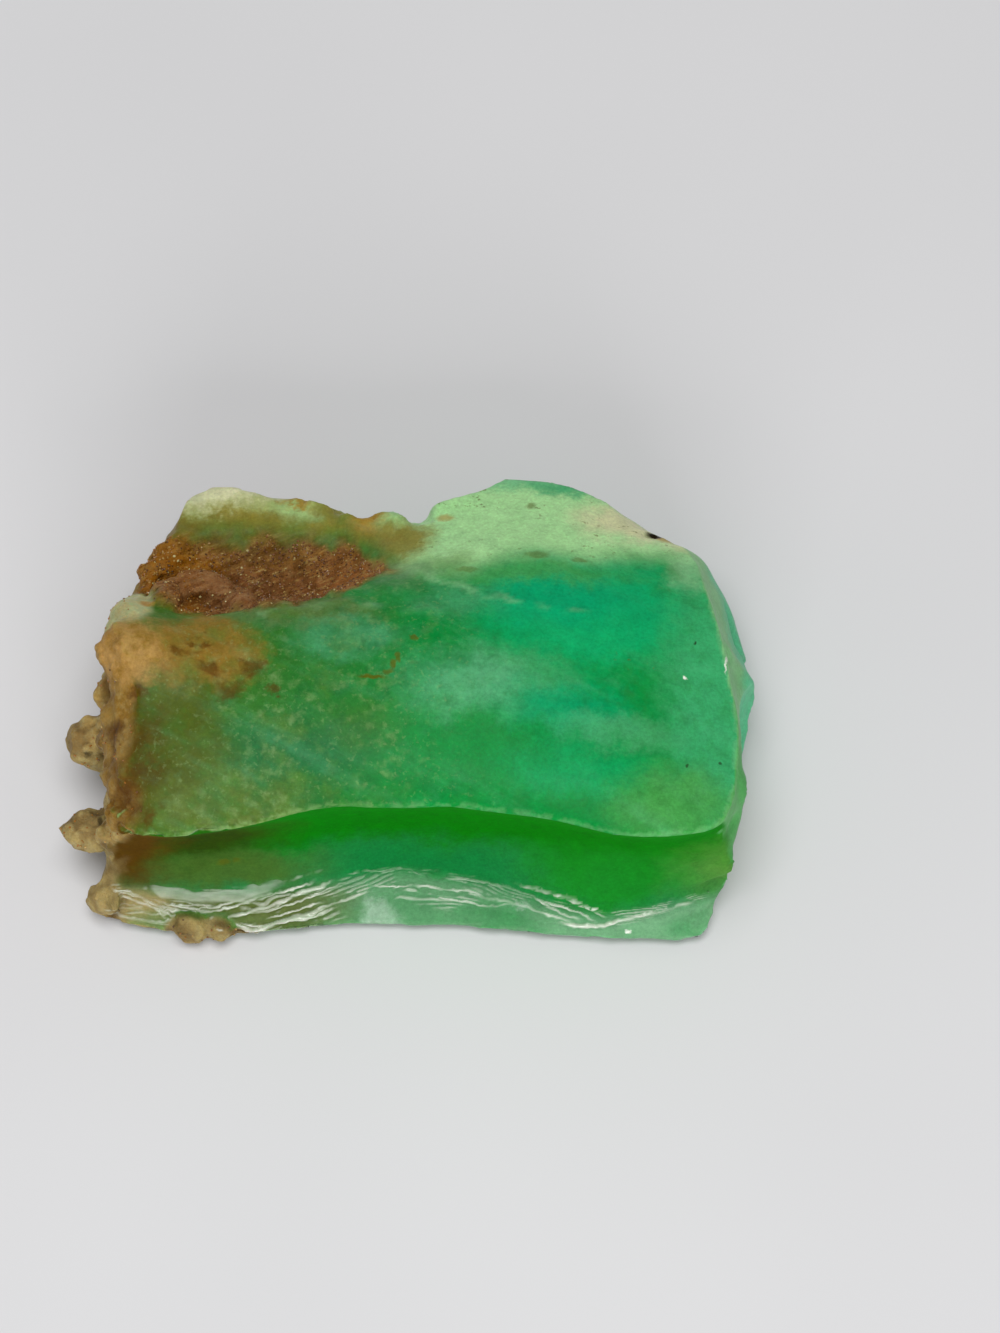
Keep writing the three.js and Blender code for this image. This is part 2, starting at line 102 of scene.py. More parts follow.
# The brightest ledges on the foot: height and width in mm, then places as x and the
# distance below the toe.
LEDGES = (
    (0.09, 0.09, ((-18.3, 0.2), (-16.9, 0.6), (-16, 1.05), (-15.1, 1.45), (-13.7, 1.6))),
    (0.13, 0.12, ((-17.9, 0.7), (-16.6, 1.25), (-15.4, 1.6), (-14.3, 1.9), (-13, 1.65), (-11.6, 1.3),
     (-10.2, 1), (-8.7, 0.4))),
    (0.2, 0.16, ((-18.9, 2.1), (-17.5, 2.3), (-16.2, 2.4), (-13.9, 2.15), (-12.2, 2.05), (-11, 1.85),
     (-9.6, 1.5), (-8.1, 1.15), (-7.1, 0.7), (-5.9, 0.4), (-4.5, 0.2))),
    (0.1, 0.09, ((-9.6, 1.6), (-8.1, 1.4), (-6.6, 1.1), (-5.2, 0.75), (-4.3, 0.55), (-3, 0.55))),
    (0.17, 0.15, ((-10.5, 2.75), (-9.3, 2.65), (-8.2, 2.5), (-7.3, 2.3), (-6.2, 2.15), (-5.5, 1.95),
     (-4.5, 1.7), (-3.5, 1.45), (-2.4, 1.35))),
    (0.1, 0.09, ((-8.7, 2.1), (-7.4, 1.9), (-6.2, 1.65), (-5.1, 1.5))),
    (0.09, 0.08, ((-15.4, 1.3), (-14.3, 1.3), (-13, 1.15), (-11.6, 1))),
    (0.09, 0.08, ((-7.2, -0.2), (-6.6, -0.5), (-5.9, -0.6), (-5.2, -0.6))),
    (0.09, 0.08, ((-3.8, -0.3), (-2.5, -0.2), (-1.7, 0.1), (0.2, 0.2), (0.9, 0.45))),
    (0.09, 0.08, ((-2.5, 0.8), (-1.4, 1.15), (-0.4, 1.35), (0.5, 1.1))),
    (0.14, 0.12, ((-0.6, 3.3), (0.3, 2.8), (1.4, 2.5), (2.6, 2.2))),
    (0.11, 0.1, ((2, 0.25), (3.2, 0.2), (5.3, 0.1), (7.3, 0.1), (8.2, 0.35), (9.1, 0.7), (10.3, 0.8))),
    (0.13, 0.11, ((0, 1.25), (1.2, 1.15), (3.5, 1), (5.9, 1), (8.2, 1.05), (9.8, 1.1))),
    (0.09, 0.08, ((1.2, 1.9), (2.6, 1.8), (4.1, 1.6), (5.3, 1.35), (6.7, 0.9))),
    (0.11, 0.09, ((6, -0.45), (8.2, -0.5), (9.3, -0.45), (10.2, -0.3), (11.1, -0.1), (11.9, 0.3))),
    (0.1, 0.09, ((7.6, 0.2), (8.8, 0.2), (9.7, 0.3), (10.6, 0.5), (11.3, 0.7))),
    (0.19, 0.17, ((8.8, 1.5), (10, 1.2), (11.1, 0.85), (12.6, 0.65), (14, 0.55), (15.5, 0.45),
     (17.2, 0.45))),
    (0.09, 0.08, ((9.6, -0.55), (10.5, -0.4), (11.3, -0.25), (11.9, 0))),
    (0.1, 0.09, ((-18.4, 0.2), (-17.4, 0.6), (-16.4, 0.9), (-15.5, 1.55), (-14.5, 2.2))),
    (0.1, 0.09, ((-17.9, 0.4), (-16.2, 1), (-14.8, 1.65), (-13.1, 1.6), (-11.9, 1.3))),
    (0.1, 0.09, ((-15.7, 0.95), (-14.3, 1.35), (-12.8, 1.35), (-10.9, 0.85), (-9.2, 0.1), (-7.5, -0.3))),
    (0.12, 0.1, ((-13.8, 2.3), (-11.4, 2.45), (-9.5, 2.65), (-7.6, 2.3), (-5.6, 2.25), (-4.2, 2))),
    (0.1, 0.09, ((-10.4, 2.4), (-8.3, 2.45), (-6.6, 2.35), (-5.1, 1.95))),
    (0.1, 0.09, ((-9.4, 0.85), (-8, 0.35), (-6.6, 0.15), (-5.6, 0.05))),
    (0.1, 0.08, ((-17, 1.7), (-15.9, 1.95), (-14.6, 1.85), (-13.4, 1.8))),
    (0.1, 0.08, ((-18.8, 1.2), (-17.8, 1.5), (-16.6, 1.6), (-15.6, 1.9))),
)

# Along the foot: x, how far down from the toe the ripples reach, the distance between
# them, and how many of them have already run out into the toe.
RIPPLES = np.array([
    [-18, 2.3, 0.36, 0], [-9, 3.1, 0.36, 0], [-5, 3, 0.34, 2], [-2.8, 2.1, 0.32, 3],
    [-0.5, 2.1, 0.3, 3.6], [2.5, 2.3, 0.28, 3.8], [5.5, 1.7, 0.27, 3.8], [9, 1.6, 0.23, 3.8],
    [11.5, 1, 0.2, 3.8], [13.8, 0.7, 0.18, 3.8], [17.5, 0.4, 0.16, 3.8],
])

# The two sides of the brown pocket behind the top face.
POCKET_NEAR = np.array(
    [[-16, 3.2], [-14.9, 2.6], [-12, 2.3], [-9.7, 2.4], [-6.4, 2.8], [-3.8, 3.8], [-2, 5.2], [0.5, 5.9]]
)
POCKET_FAR = np.array(
    [[-16.4, 8.2], [-15.2, 8.7], [-12.8, 8.9], [-10.4, 9], [-6.1, 9], [-4, 8.2], [-2.4, 7.2], [0.5, 5.6]]
)

# The rolled lobe that curls round in the left of the pocket.
ROLL_LINE = np.array([[-14.9, 2.9], [-14.6, 4.5], [-13.5, 5.5], [-12, 5.5], [-10.8, 4.9], [-10.1, 3.8]])

# Where the top face turns down into the rear lobe.
REAR_LINE = np.array(
    [[-20, 9.3], [-4, 9.2], [-2.2, 7.6], [-0.5, 5.6], [1.3, 4.8], [3.7, 5], [6, 6.2], [7.8, 6.6],
     [10.8, 6.1], [12.7, 6.5], [16.9, 6.9], [20, 7.5]]
)

# Two faint ridges on the top face, behind its middle.
FACE_RIDGES = (
    np.array([[-0.6, 6.2], [1.3, 4.8], [3.1, 4], [4.3, 3.5], [6, 2.9], [8.1, 2.4], [10.5, 2.1]]),
    np.array([[-8.6, 2], [-6.4, 2.2], [-4.3, 2.9], [-2.5, 2.5], [-0.5, 2], [1.8, 2.1]]),
)

# Where the stone stands prouder than the measured solid, or has a notch: middle, radii and
# height in mm.
BULGES = (
    ((1.9, 12.4, 7.2), (2.8, 2.2, 3), 0.75),
    ((-17.9, -1.6, 13.2), (1.8, 2.4, 3), 0.35),
    ((-17, 2.8, 12), (1.9, 2.4, 3), 0.45),
    ((-18.3, -5, 10), (1.6, 2.4, 4), 0.35),
    ((-18.3, -9.6, 6), (1.5, 1.6, 4), 0.35),
    ((20.5, -2.6, 6.4), (2.4, 4.6, 3.4), 0.45),
    ((17.8, 8.4, 7.6), (2, 2.2, 3), 0.3),
    ((20, -7.6, 9.2), (1.6, 1.3, 2.2), 0.35),
    ((19.4, -9.7, 8.2), (1.6, 1.1, 1.8), -0.4),
    ((19.1, -10.9, 5.4), (1.4, 1, 1.4), 0.35),
    ((18.3, -11.9, 3.4), (1.4, 0.9, 0.9), -0.4),
)

# Beads of crust along the left of the foot's edge, then lumps at the left of the pocket and
# along its near rim: middle and radii in mm.
BEADS = (
    ((-13.6, -14, 1.4), (2, 1.8, 2)),
    ((-11.7, -14, 1.4), (1.6, 1.6, 1.8)),
    ((-16.4, -14, 0.8), (1.8, 1.2, 1.2)),
    ((-10, -14, 0.8), (1.4, 0.9, 1)),
)
LEFT_KNOBS = (((-15.2, 7.4, 8.6), (2.4, 2.4, 3)), ((-12.6, 6.9, 8), (2.2, 1.5, 3)))
RIM_LUMPS = (((-7.6, 3, 12.4), (2.2, 1.3, 2)), ((-4.6, 3.6, 12.2), (1.6, 1.1, 2)))

# Shallow shell-shaped scars on the back, the right end and the underside: the middle of a
# ball, and its radius. The stone is cut back to the ball.
SCARS = (
    ((11.5, 21.6, 2.5), 9),
    ((2.5, 20.5, 0.5), 7.6),
    ((-7, 21.5, 8.2), 8.6),
    ((26.5, 5.5, 1), 7.6),
    ((27.5, -5, 6.5), 8.6),
    ((-2, 24.6, 10), 13.6),
    ((3, -4, -24), 24.3),
    ((-11, 3, -13), 13.25),
)

# ---------------------------------------------------------------- numbers on arrays


def smooth_step(low, high, value):
    """Rises smoothly from 0 to 1 as value goes from low to high; high may be the lower one."""
    t = np.clip((value - low) / (high - low), 0.0, 1.0)
    return t * t * (3.0 - 2.0 * t)


def lattice(cells, seed):
    """Repeatable numbers from 0 to 1, one for each whole-numbered place."""
    x, y, z = (cells[..., i].astype(np.int64) for i in range(3))
    h = (x * 374761393 + y * 668265263 + z * 1440662683 + seed * 1274126177) & 0xFFFFFFFF
    h = ((h ^ (h >> 13)) * 1274126177) & 0xFFFFFFFF
    h = ((h ^ (h >> 15)) * 2246822519) & 0xFFFFFFFF
    return ((h ^ (h >> 16)) & 0xFFFFFF) / float(0xFFFFFF)


def noise(points, size, seed):
    """Smooth noise from -1 to 1 with features of the given size, or sizes along the axes."""
    p = points / size
    base = np.floor(p)
    t = p - base
    t = t * t * (3.0 - 2.0 * t)
    total = np.zeros(len(p))
    for corner in itertools.product((0, 1), repeat=3):
        share = np.ones(len(p))
        for axis, far in enumerate(corner):
            share *= t[:, axis] if far else 1.0 - t[:, axis]
        total += share * lattice(base + corner, seed)
    return 2.0 * total - 1.0


def layered_noise(points, size, seed, layers=3):
    """Noise with finer and finer layers on it."""
    total = np.zeros(len(points))
    weight = 1.0
    for layer in range(layers):
        total += weight * noise(points, size / 2.1**layer, seed + layer)
        weight *= 0.5
    return total / (2.0 - 2.0 ** (1 - layers))


def knob_heights(points, size, seed):
    """Rounded knobs of the given size, crowded together: 1 at a crown, 0 in the creases."""
    p = points / size
    base = np.floor(p)
    nearest = np.full(len(p), 9.0)
    for shift in itertools.product((-1, 0, 1), repeat=3):
        cell = base + shift
        middle = cell + np.stack([lattice(cell, seed + k) for k in range(3)], 1)
        nearest = np.minimum(nearest, ((p - middle) ** 2).sum(1))
    return np.clip(1.0 - nearest / 0.55, 0.0, 1.0)


def distance_to_line(points, line):
    """How far each point is from a line of straight stretches."""
    best = np.full(len(points), 1e9)
    for a, b in zip(line[:-1], line[1:]):
        along = b - a
        t = np.clip(((points - a) @ along) / (along @ along), 0.0, 1.0)
        best = np.minimum(best, np.linalg.norm(points - a - t[:, None] * along, axis=1))
    return best


def along_x(x, line, column=1):
    """A column of a line's table at each x."""
    return np.interp(x, line[:, 0], line[:, column])


def near(points, centre, radii):
    """1 at the centre, falling to 0 on an ellipsoid round it."""
    away = np.linalg.norm((points - np.array(centre)) / np.array(radii), axis=1)
    return smooth_step(1.0, 0.0, away)


def near_any(points, *places):
    """How near each point is to several places, given as their centres and radii, in all."""
    return sum(near(points, centre, radii) for centre, radii in places)


# ---------------------------------------------------------------- where things are


def crust_share(p, facing):
    """The knobbly crust: the left end, the left of the back, and beads along the foot."""
    x, y, z = p.T
    ragged = layered_noise(p, 2.4, 11)
    left = smooth_step(0.15, 0.5, -facing[:, 0] + 0.12 * ragged) * smooth_step(-13.5, -16.5, x)
    from_x = np.interp(z, [2.6, 4.0], [-16.4, -17.2])
    end = smooth_step(from_x, from_x - 1.4, x + 0.9 * ragged + 0.3 * noise(p, 0.7, 12))
    back = smooth_step(-5.0, -9.0, x + 2.4 * ragged)
    back *= np.maximum(smooth_step(0.1, 0.5, facing[:, 1] + 0.2 * ragged), smooth_step(9.0, 10.5, y))
    back *= smooth_step(5.0, 8.0, y) * smooth_step(7.5, 6.2, z + 0.8 * ragged)
    share = np.maximum(np.maximum(left, end), back) * smooth_step(0.1, 0.6, z)
    return np.maximum(share, smooth_step(0.1, 0.4, near_any(p, *BEADS)))


def wedge_share(p):
    """The pale flake that stands between the highest knob and the pocket."""
    return smooth_step(0.15, 0.45, near(p, (-17.2, 2.7, 11.8), (3.0, 4.4, 6.0)) + 0.1 * noise(p, 1.0, 27))


def pocket_share(p):
    """The hollow between the top face and the rear lobes."""
    x, y, z = p.T
    ragged = 0.6 * layered_noise(p, 1.8, 21) + 0.3 * noise(p, 0.6, 24)
    near_side = along_x(x, POCKET_NEAR)
    far_side = along_x(x, POCKET_FAR)
    inside = smooth_step(near_side - 0.4, near_side + 0.5, y + 0.8 * ragged)
    inside *= smooth_step(far_side + 1.2, far_side - 0.6, y + 1.6 * ragged)
    inside *= smooth_step(0.6, -2.4, x + 1.6 * ragged) * smooth_step(-17.4, -16.0, x)
    return inside * smooth_step(4.0, 6.0, z) * (1.0 - wedge_share(p))


def toe_distance(p):
    """How far below the toe a point of the foot lies, measured down the foot."""
    x = p[:, 0]
    toe, foot = (
        np.stack([along_x(x, line, k) for k in (1, 2)], 1) for line in (TOE_LINE, FOOT_LINE)
    )
    down = foot - toe
    down /= np.linalg.norm(down, axis=1)[:, None]
    return ((p[:, 1:] - toe) * down).sum(1)


def front_share(p, facing):
    """The scoop and the foot, under the lip."""
    return smooth_step(0.52, 0.72, -facing[:, 1]) * smooth_step(-7.0, -8.5, p[:, 1])


def ripple_share(p, front):
    """The band of ripples that the break left along the foot."""
    x, _, z = p.T
    below = toe_distance(p)
    reach = along_x(x, RIPPLES)
    band = smooth_step(-0.25, 0.1, below) * smooth_step(reach + 0.3, reach - 0.1, below)
    band *= smooth_step(-18.8, -17.5, x) * smooth_step(18.2, 17.2, x)
    return band * front * smooth_step(0.3, 0.7, z)


def flat_share(p, front):
    """The one smooth flake in the ripples."""
    x = p[:, 0]
    below = toe_distance(p) + 0.16 * layered_noise(p * (0.5, 1.0, 1.0), 0.5, 95)
    top = np.interp(x, [-15.4, -13.0, -11.0, -8.9, -7.2], [0.0, 0.15, 0.0, -0.4, -0.35])
    low = np.interp(x, [-15.4, -15.0, -12.5, -10.2, -8.7, -7.2], [0.4, 0.75, 0.85, 0.8, 0.2, -0.3])
    inside = smooth_step(top - 0.05, top + 0.1, below) * smooth_step(low + 0.2, low - 0.12, below)
    return inside * front * smooth_step(-15.7, -15.3, x) * smooth_step(-7.1, -8.0, x)


# ---------------------------------------------------------------- the stone's mesh


def read_rows(items, name, width, kind):
    """One property of all of a mesh's items, as an array with a row for each."""
    values = np.empty(len(items) * width, dtype=kind)
    items.foreach_get(name, values)
    return values.reshape(-1, width)


class Surface:
    """A mesh as arrays, in millimetres."""

    def __init__(self, mesh):
        mesh.calc_loop_triangles()
        self.points = read_rows(mesh.vertices, "co", 3, float)
        self.faces = read_rows(mesh.loop_triangles, "vertices", 3, np.int32)
        self.edges = read_rows(mesh.edges, "vertices", 2, np.int32)

    def normals(self):
        a, b, c = (self.points[self.faces[:, k]] for k in range(3))
        face_normals = np.cross(b - a, c - a)
        total = np.zeros_like(self.points)
        for k in range(3):
            for axis in range(3):
                total[:, axis] += np.bincount(
                    self.faces[:, k], face_normals[:, axis], minlength=len(self.points)
                )
        return total / np.maximum(np.linalg.norm(total, axis=1), 1e-12)[:, None]

    def raise_by(self, heights):
        """Moves each point out along the surface's normal."""
        self.points = self.points + self.normals() * heights[:, None]

    def relax(self, share, passes):
        """Draws each point towards the mean of its neighbours, by its share."""
        count = len(self.points)
        a, b = self.edges.T
        joined = np.bincount(a, minlength=count) + np.bincount(b, minlength=count)
        for _ in range(passes):
            mean = np.zeros_like(self.points)
            for axis in range(3):
                values = self.points[:, axis]
                mean[:, axis] = np.bincount(a, values[b], minlength=count)
                mean[:, axis] += np.bincount(b, values[a], minlength=count)
            mean /= np.maximum(joined, 1)[:, None]
            self.points += (mean - self.points) * share[:, None]

    def cut_back(self, centre, radius):
        """Cuts a shell-shaped scar with the outside of a ball."""
        away = self.points - np.array(centre)
        distance = np.linalg.norm(away, axis=1)
        height, spacing = SCAR_RINGS
        rings = height * np.sin(distance_from_first(self.points, distance < radius) / spacing)
        inside = distance < radius + rings
        out = away / distance[:, None] * (radius + rings)[:, None]
        self.points[inside] = (np.array(centre) + out)[inside]


def distance_from_first(points, chosen):
    """How far each point is from one end of the chosen ones."""
    if not chosen.any():
        return np.zeros(len(points))
    return np.linalg.norm(points - points[chosen][points[chosen][:, 2].argmax()], axis=1)


def add_object(name, data):
    """A new object in the scene, with its mesh, light or camera."""
    obj = bpy.data.objects.new(name, data)
    bpy.context.scene.collection.objects.link(obj)
    return obj


def rounded_solid():
    """The measured solid in millimetres, rounded between its sharp edges."""
    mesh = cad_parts[NODE].data.copy()
    mesh.transform(Matrix.Scale(1.0 / MM, 4))
    solid = bmesh.new()
    solid.from_mesh(mesh)
    bmesh.ops.remove_doubles(solid, verts=solid.verts, dist=WELD_GAP)
    bmesh.ops.join_triangles(
        solid, faces=solid.faces, angle_face_threshold=0.5, angle_shape_threshold=0.8
    )
    crease = solid.edges.layers.float.new("crease_edge")
    for edge in solid.edges:
        angle = math.degrees(edge.calc_face_angle_signed(0.0))
        if abs(angle) > CREASE_ANGLE:
            edge[crease] = 1.0 if angle > 0.0 else INNER_CREASE
    solid.to_mesh(mesh)
    solid.free()
    obj = add_object("rounded_solid", mesh)
    rounding = obj.modifiers.new("rounding", "SUBSURF")
    rounding.levels = 2
    rounding.render_levels = 2
    return obj


def evaluated_mesh(obj):
    return bpy.data.meshes.new_from_object(
        obj.evaluated_get(bpy.context.evaluated_depsgraph_get())
    )


def sharp_places(mesh):
    """Points along the convex sharp edges of a mesh."""
    shape = bmesh.new()
    shape.from_mesh(mesh)
    places = []
    for edge in shape.edges:
        if math.degrees(edge.calc_face_angle_signed(0.0)) > SHARP_ANGLE:
            a, b = (v.co for v in edge.verts)
            places += [a.lerp(b, share) for share in (0.0, 0.33, 0.67, 1.0)]
    shape.free()
    return np.array(places)


def distance_to_places(points, places):
    tree = KDTree(len(places))
    for index, place in enumerate(places):
        tree.insert(place, index)
    tree.balance()
    return np.array([tree.find(p)[2] for p in points])


def refine(mesh, pick, cuts):
    """Smaller cells where pick, a function of points and normals, gives over 0.05."""
    fine = bmesh.new()
    fine.from_mesh(mesh)
    fine.normal_update()
    p = np.array([v.co for v in fine.verts])
    facing = np.array([v.normal for v in fine.verts])
    chosen = pick(p, facing) > 0.05
    fine.verts.index_update()
    edges = [e for e in fine.edges if chosen[e.verts[0].index] or chosen[e.verts[1].index]]
    bmesh.ops.subdivide_edges(fine, edges=edges, cuts=cuts, use_grid_fill=True)
    bmesh.ops.triangulate(fine, faces=[f for f in fine.faces if len(f.verts) > 4])
    fine.to_mesh(mesh)
    fine.free()


def settle(mesh, target):
    """Moves every point of a mesh to the nearest place on the target mesh."""
    tree = BVHTree.FromPolygons(
        [v.co for v in target.vertices], [tuple(p.vertices) for p in target.polygons]
    )
    for vertex in mesh.vertices:
        vertex.co = tree.find_nearest(vertex.co)[0]


def ripple_steps(p, settings):
    """Fine broken ripples that follow the toe. Returns their heights, and their frost, which is partly
    painted glint.
    """
    x = p[:, 0]
    below = toe_distance(p)
    spacing, gone = (along_x(x, RIPPLES, k) for k in (2, 3))
    stretched = p * (0.3, 1.0, 1.0)
    wander = 1.3 * layered_noise(stretched, 0.9, 31) + 1.6 * noise(p, 4.0, 35)
    phase = below / spacing / settings.ripple_spacing + gone + wander
    step = phase - np.floor(phase)
    saw = np.where(step < 0.35, step / 0.35, (1.0 - step) / 0.65)
    strength = smooth_step(-0.35, 0.75, noise(stretched, 0.5, 37) + 0.4 * noise(p, 0.3, 38))
    frost = smooth_step(0.0, 0.15, step) * smooth_step(0.5, 0.3, step) * smooth_step(0.3, 0.9, strength)
    return settings.ripple_height * spacing * (saw - 0.5) * strength, 0.6 * frost


def ledge_steps(p, settings):
    """The brightest ledges, steep above and slow below. Returns heights, and frost along them that is partly
    painted glint.
    """
    below = toe_distance(p)
    below += 0.16 * noise(p * (0.6, 1.0, 1.0), 0.7, 33) + 0.09 * noise(p, 0.26, 34)
    streaky = noise(p * (0.35, 1.0, 1.0), 0.35, 36) + 0.5 * noise(p, 1.1, 40)
    broken = np.clip(0.85 + 0.7 * streaky, 0.2, 1.2)
    heights = np.zeros(len(p))
    frost = np.zeros(len(p))
    for height, width, line in LEDGES:
        x, at = np.array(line).T
        offset = below - np.interp(p[:, 0], x, at)
        along = smooth_step(x[0] - 0.1, x[0] + 0.9, p[:, 0]) * smooth_step(x[-1] + 0.1, x[-1] - 0.9, p[:, 0])
        share = along * broken
        ledge = smooth_step(-width, 0.0, offset) * smooth_step(2.4 * width, 0.0, offset)
        heights += settings.ledge_height * height * share * ledge
        bright = smooth_step(-0.9 * width, -0.4 * width, offset)
        bright *= smooth_step(1.1 * width, -0.1 * width, offset)
        frost = np.maximum(frost, share * bright)
    return heights, frost


def sculpt(surface, edge_places, settings):
    """Gives the even mesh the stone's own surface. Returns the shares of its finishes, painted glints and
    painted shade among them.
    """
    p = surface.points
    x, y, z = p.T
    facing = surface.normals()
    crust = crust_share(p, facing)
    pocket = pocket_share(p)
    rough = np.maximum(crust, pocket)
    front = front_share(p, facing)
    ripple = ripple_share(p, front)
    flat = flat_share(p, front)
    edge_gap = distance_to_places(p, edge_places)
    on_top = smooth_step(0.0, 0.4, facing[:, 2]) * smooth_step(8.5, 10.0, z)

    # The loft's flats go, but not its lip, ridge and foot.
    above_floor = smooth_step(0.0, 0.6, z)
    smooth = smooth_step(0.35, 1.4, edge_gap) * (1.0 - 0.8 * rough) * above_floor
    surface.relax(0.9 * smooth, FLAT_PASSES)

    # Smooth faces: a slow swell and a satin unevenness.
    p = surface.points
    x, y, z = p.T
    calm = (1.0 - rough) * (1.0 - ripple) * smooth_step(0.2, 1.0, z)
    swell = 0.10 * layered_noise(p, 5.5, 41) + 0.016 * layered_noise(p, 0.9, 43)
    for line in FACE_RIDGES:
        away = distance_to_line(p[:, :2], line)
        swell += on_top * (0.07 * smooth_step(0.5, 0.0, away) - 0.05 * smooth_step(1.8, 0.5, away))
    surface.raise_by(calm * settings.swell * swell)

    for centre, radii, height in BULGES:
        surface.raise_by(height * near(surface.points, centre, radii))

    # The lip: sharp and finely chipped, most of all at the left.
    edge = smooth_step(0.75, 0.0, edge_gap) * (1.0 - crust)
    lip = edge * smooth_step(9.0, 10.2, z)
    bites = smooth_step(0.0, 0.7, noise(p, 1.0, 51)) + 0.6 * smooth_step(0.1, 0.7, noise(p, 0.42, 53))
    deeper = 0.1 + 0.9 * smooth_step(-5.0, -9.0, x) * smooth_step(-7.0, -9.0, y)
    surface.raise_by(-settings.chip_depth * lip * bites * deeper)
    low_edge = edge * smooth_step(3.0, 1.5, z)
    surface.raise_by(-0.09 * low_edge * (1.0 + noise(p, 0.7, 55)))

    # Crust: knobs on knobs with sunk creases between them, and lumps on the highest knob.
    p = surface.points
    x, y, z = p.T
    sunk = 0.55 * knob_heights(p, 2.0, 61) + 0.3 * knob_heights(p, 1.0, 67)
    sunk += 0.15 * knob_heights(p, 0.5, 71) - 1.0
    calmer = 1.0 - 0.45 * smooth_step(4.2, 3.2, z)
    surface.raise_by(settings.crust_height * calmer * crust * (sunk + 0.25))
    lumps = near(p, (-16.0, -0.6, 14.5), (3.0, 2.6, 3.0))
    surface.raise_by(0.16 * lumps * (layered_noise(p, 1.1, 75) - 0.3))

    # Pocket: fibrous ridges that run up to the right, lumps at the left, and a rolled lobe.
    p = surface.points
    x, y, z = p.T
    in_pocket = pocket * smooth_step(6.0, 7.0, z)
    roll = distance_to_line(p[:, :2] + 0.15 * layered_noise(p, 0.8, 98)[:, None], ROLL_LINE)
    rolled = in_pocket * smooth_step(1.25, 0.95, roll)
    turned = p @ np.array([[0.9, -0.42, 0.0], [0.42, 0.9, 0.0], [0.0, 0.0, 1.0]])
    fibres = layered_noise(turned * (0.28, 1.0, 0.7), 0.62, 81, 4)
    grain = 1.1 * fibres + 0.3 * knob_heights(p, 0.6, 73) - 0.35
    surface.raise_by(settings.pocket_height * pocket * (1.0 - 0.8 * rolled) * grain)
    knobs = smooth_step(0.0, 0.6, near_any(p, *LEFT_KNOBS))
    surface.raise_by(0.5 * knobs * (knob_heights(p, 1.9, 97) - 0.2))
    surface.raise_by(in_pocket * 0.9 * np.sqrt(np.clip(1.0 - (roll / 1.05) ** 2, 0.0, 1.0)))
    crack = in_pocket * smooth_step(0.45, 0.1, np.abs(roll - 1.3)) * smooth_step(-9.6, -11.0, x)
    crack *= smooth_step(3.6, 4.6, y)
    surface.raise_by(-0.4 * crack)
    surface.raise_by(-0.5 * in_pocket * near(p, (-12.5, 3.6, 9.4), (1.6, 1.0, 3.0)))
    surface.raise_by(-0.45 * in_pocket * near(p, (-9.6, 3.9, 9.4), (1.6, 0.8, 3.0)))
    lumps = smooth_step(0.0, 0.5, near_any(p, *RIM_LUMPS))
    surface.raise_by(0.3 * lumps * (knob_heights(p, 1.4, 99) - 0.3))

    # The edges of the rear lobes are nibbled, most of all in their middle.
    p = surface.points
    x, y, z = p.T
    rear = smooth_step(8.0, 10.0, y) * smooth_step(6.0, 7.0, z) * smooth_step(0.8, 0.1, edge_gap)
    nibbled = 0.5 * smooth_step(-9.0, -6.0, x) * smooth_step(2.0, -1.0, x) + 0.12
    surface.raise_by(nibbled * rear * (knob_heights(p, 1.5, 85) - 0.6))

    # The flank's edge is scalloped, and the back is an old break with shell-shaped scars.
    flank = smooth_step(17.5, 19.0, x) * smooth_step(2.0, 3.5, z) * smooth_step(7.5, 6.0, z)
    surface.raise_by(-0.3 * flank * smooth_step(0.0, 0.35, noise(p, 1.7, 87)))
    facet = distance_to_line(p, np.array([[19.1, 0.6, 10.0], [19.9, 0.5, 7.6], [20.5, -0.1, 6.3]]))
    surface.raise_by(0.28 * smooth_step(1.3, 0.0, facet))
    for centre, radius in SCARS:
        surface.cut_back(centre, radius)
    back = smooth_step(8.0, 11.0, y) * smooth_step(7.5, 5.5, z)
    scars = np.abs(layered_noise(surface.points * (0.6, 1.0, 1.0), 3.2, 83))
    worn = 0.08 * layered_noise(surface.points, 1.1, 84) + 0.5 * np.minimum(scars, 0.3) - 0.1
    surface.raise_by(back * worn)

    # The foot: a smooth flake, ripples, and one pebble in them.
    fine, fine_frost_glint = ripple_steps(surface.points, settings)
    ledges, frost = ledge_steps(surface.points, settings)
    below = toe_distance(surface.points)
    on_foot = np.maximum(ripple, front * smooth_step(-1.0, -0.8, below) * smooth_step(0.1, -0.2, below))
    heights = (1.0 - flat) * (ripple * fine + on_foot * (ledges - 0.05))
    heights += flat * settings.flake_tilt * (below - 0.6)
    surface.raise_by(heights)
    surface.raise_by(0.34 * np.sqrt(near(surface.points, (1.6, -10.95, 3.2), (0.62, 0.5, 0.42))))

    dim = smooth_step(-6.0, -4.0, x) * smooth_step(9.0, 6.0, x) * smooth_step(1.1, 0.7, below)

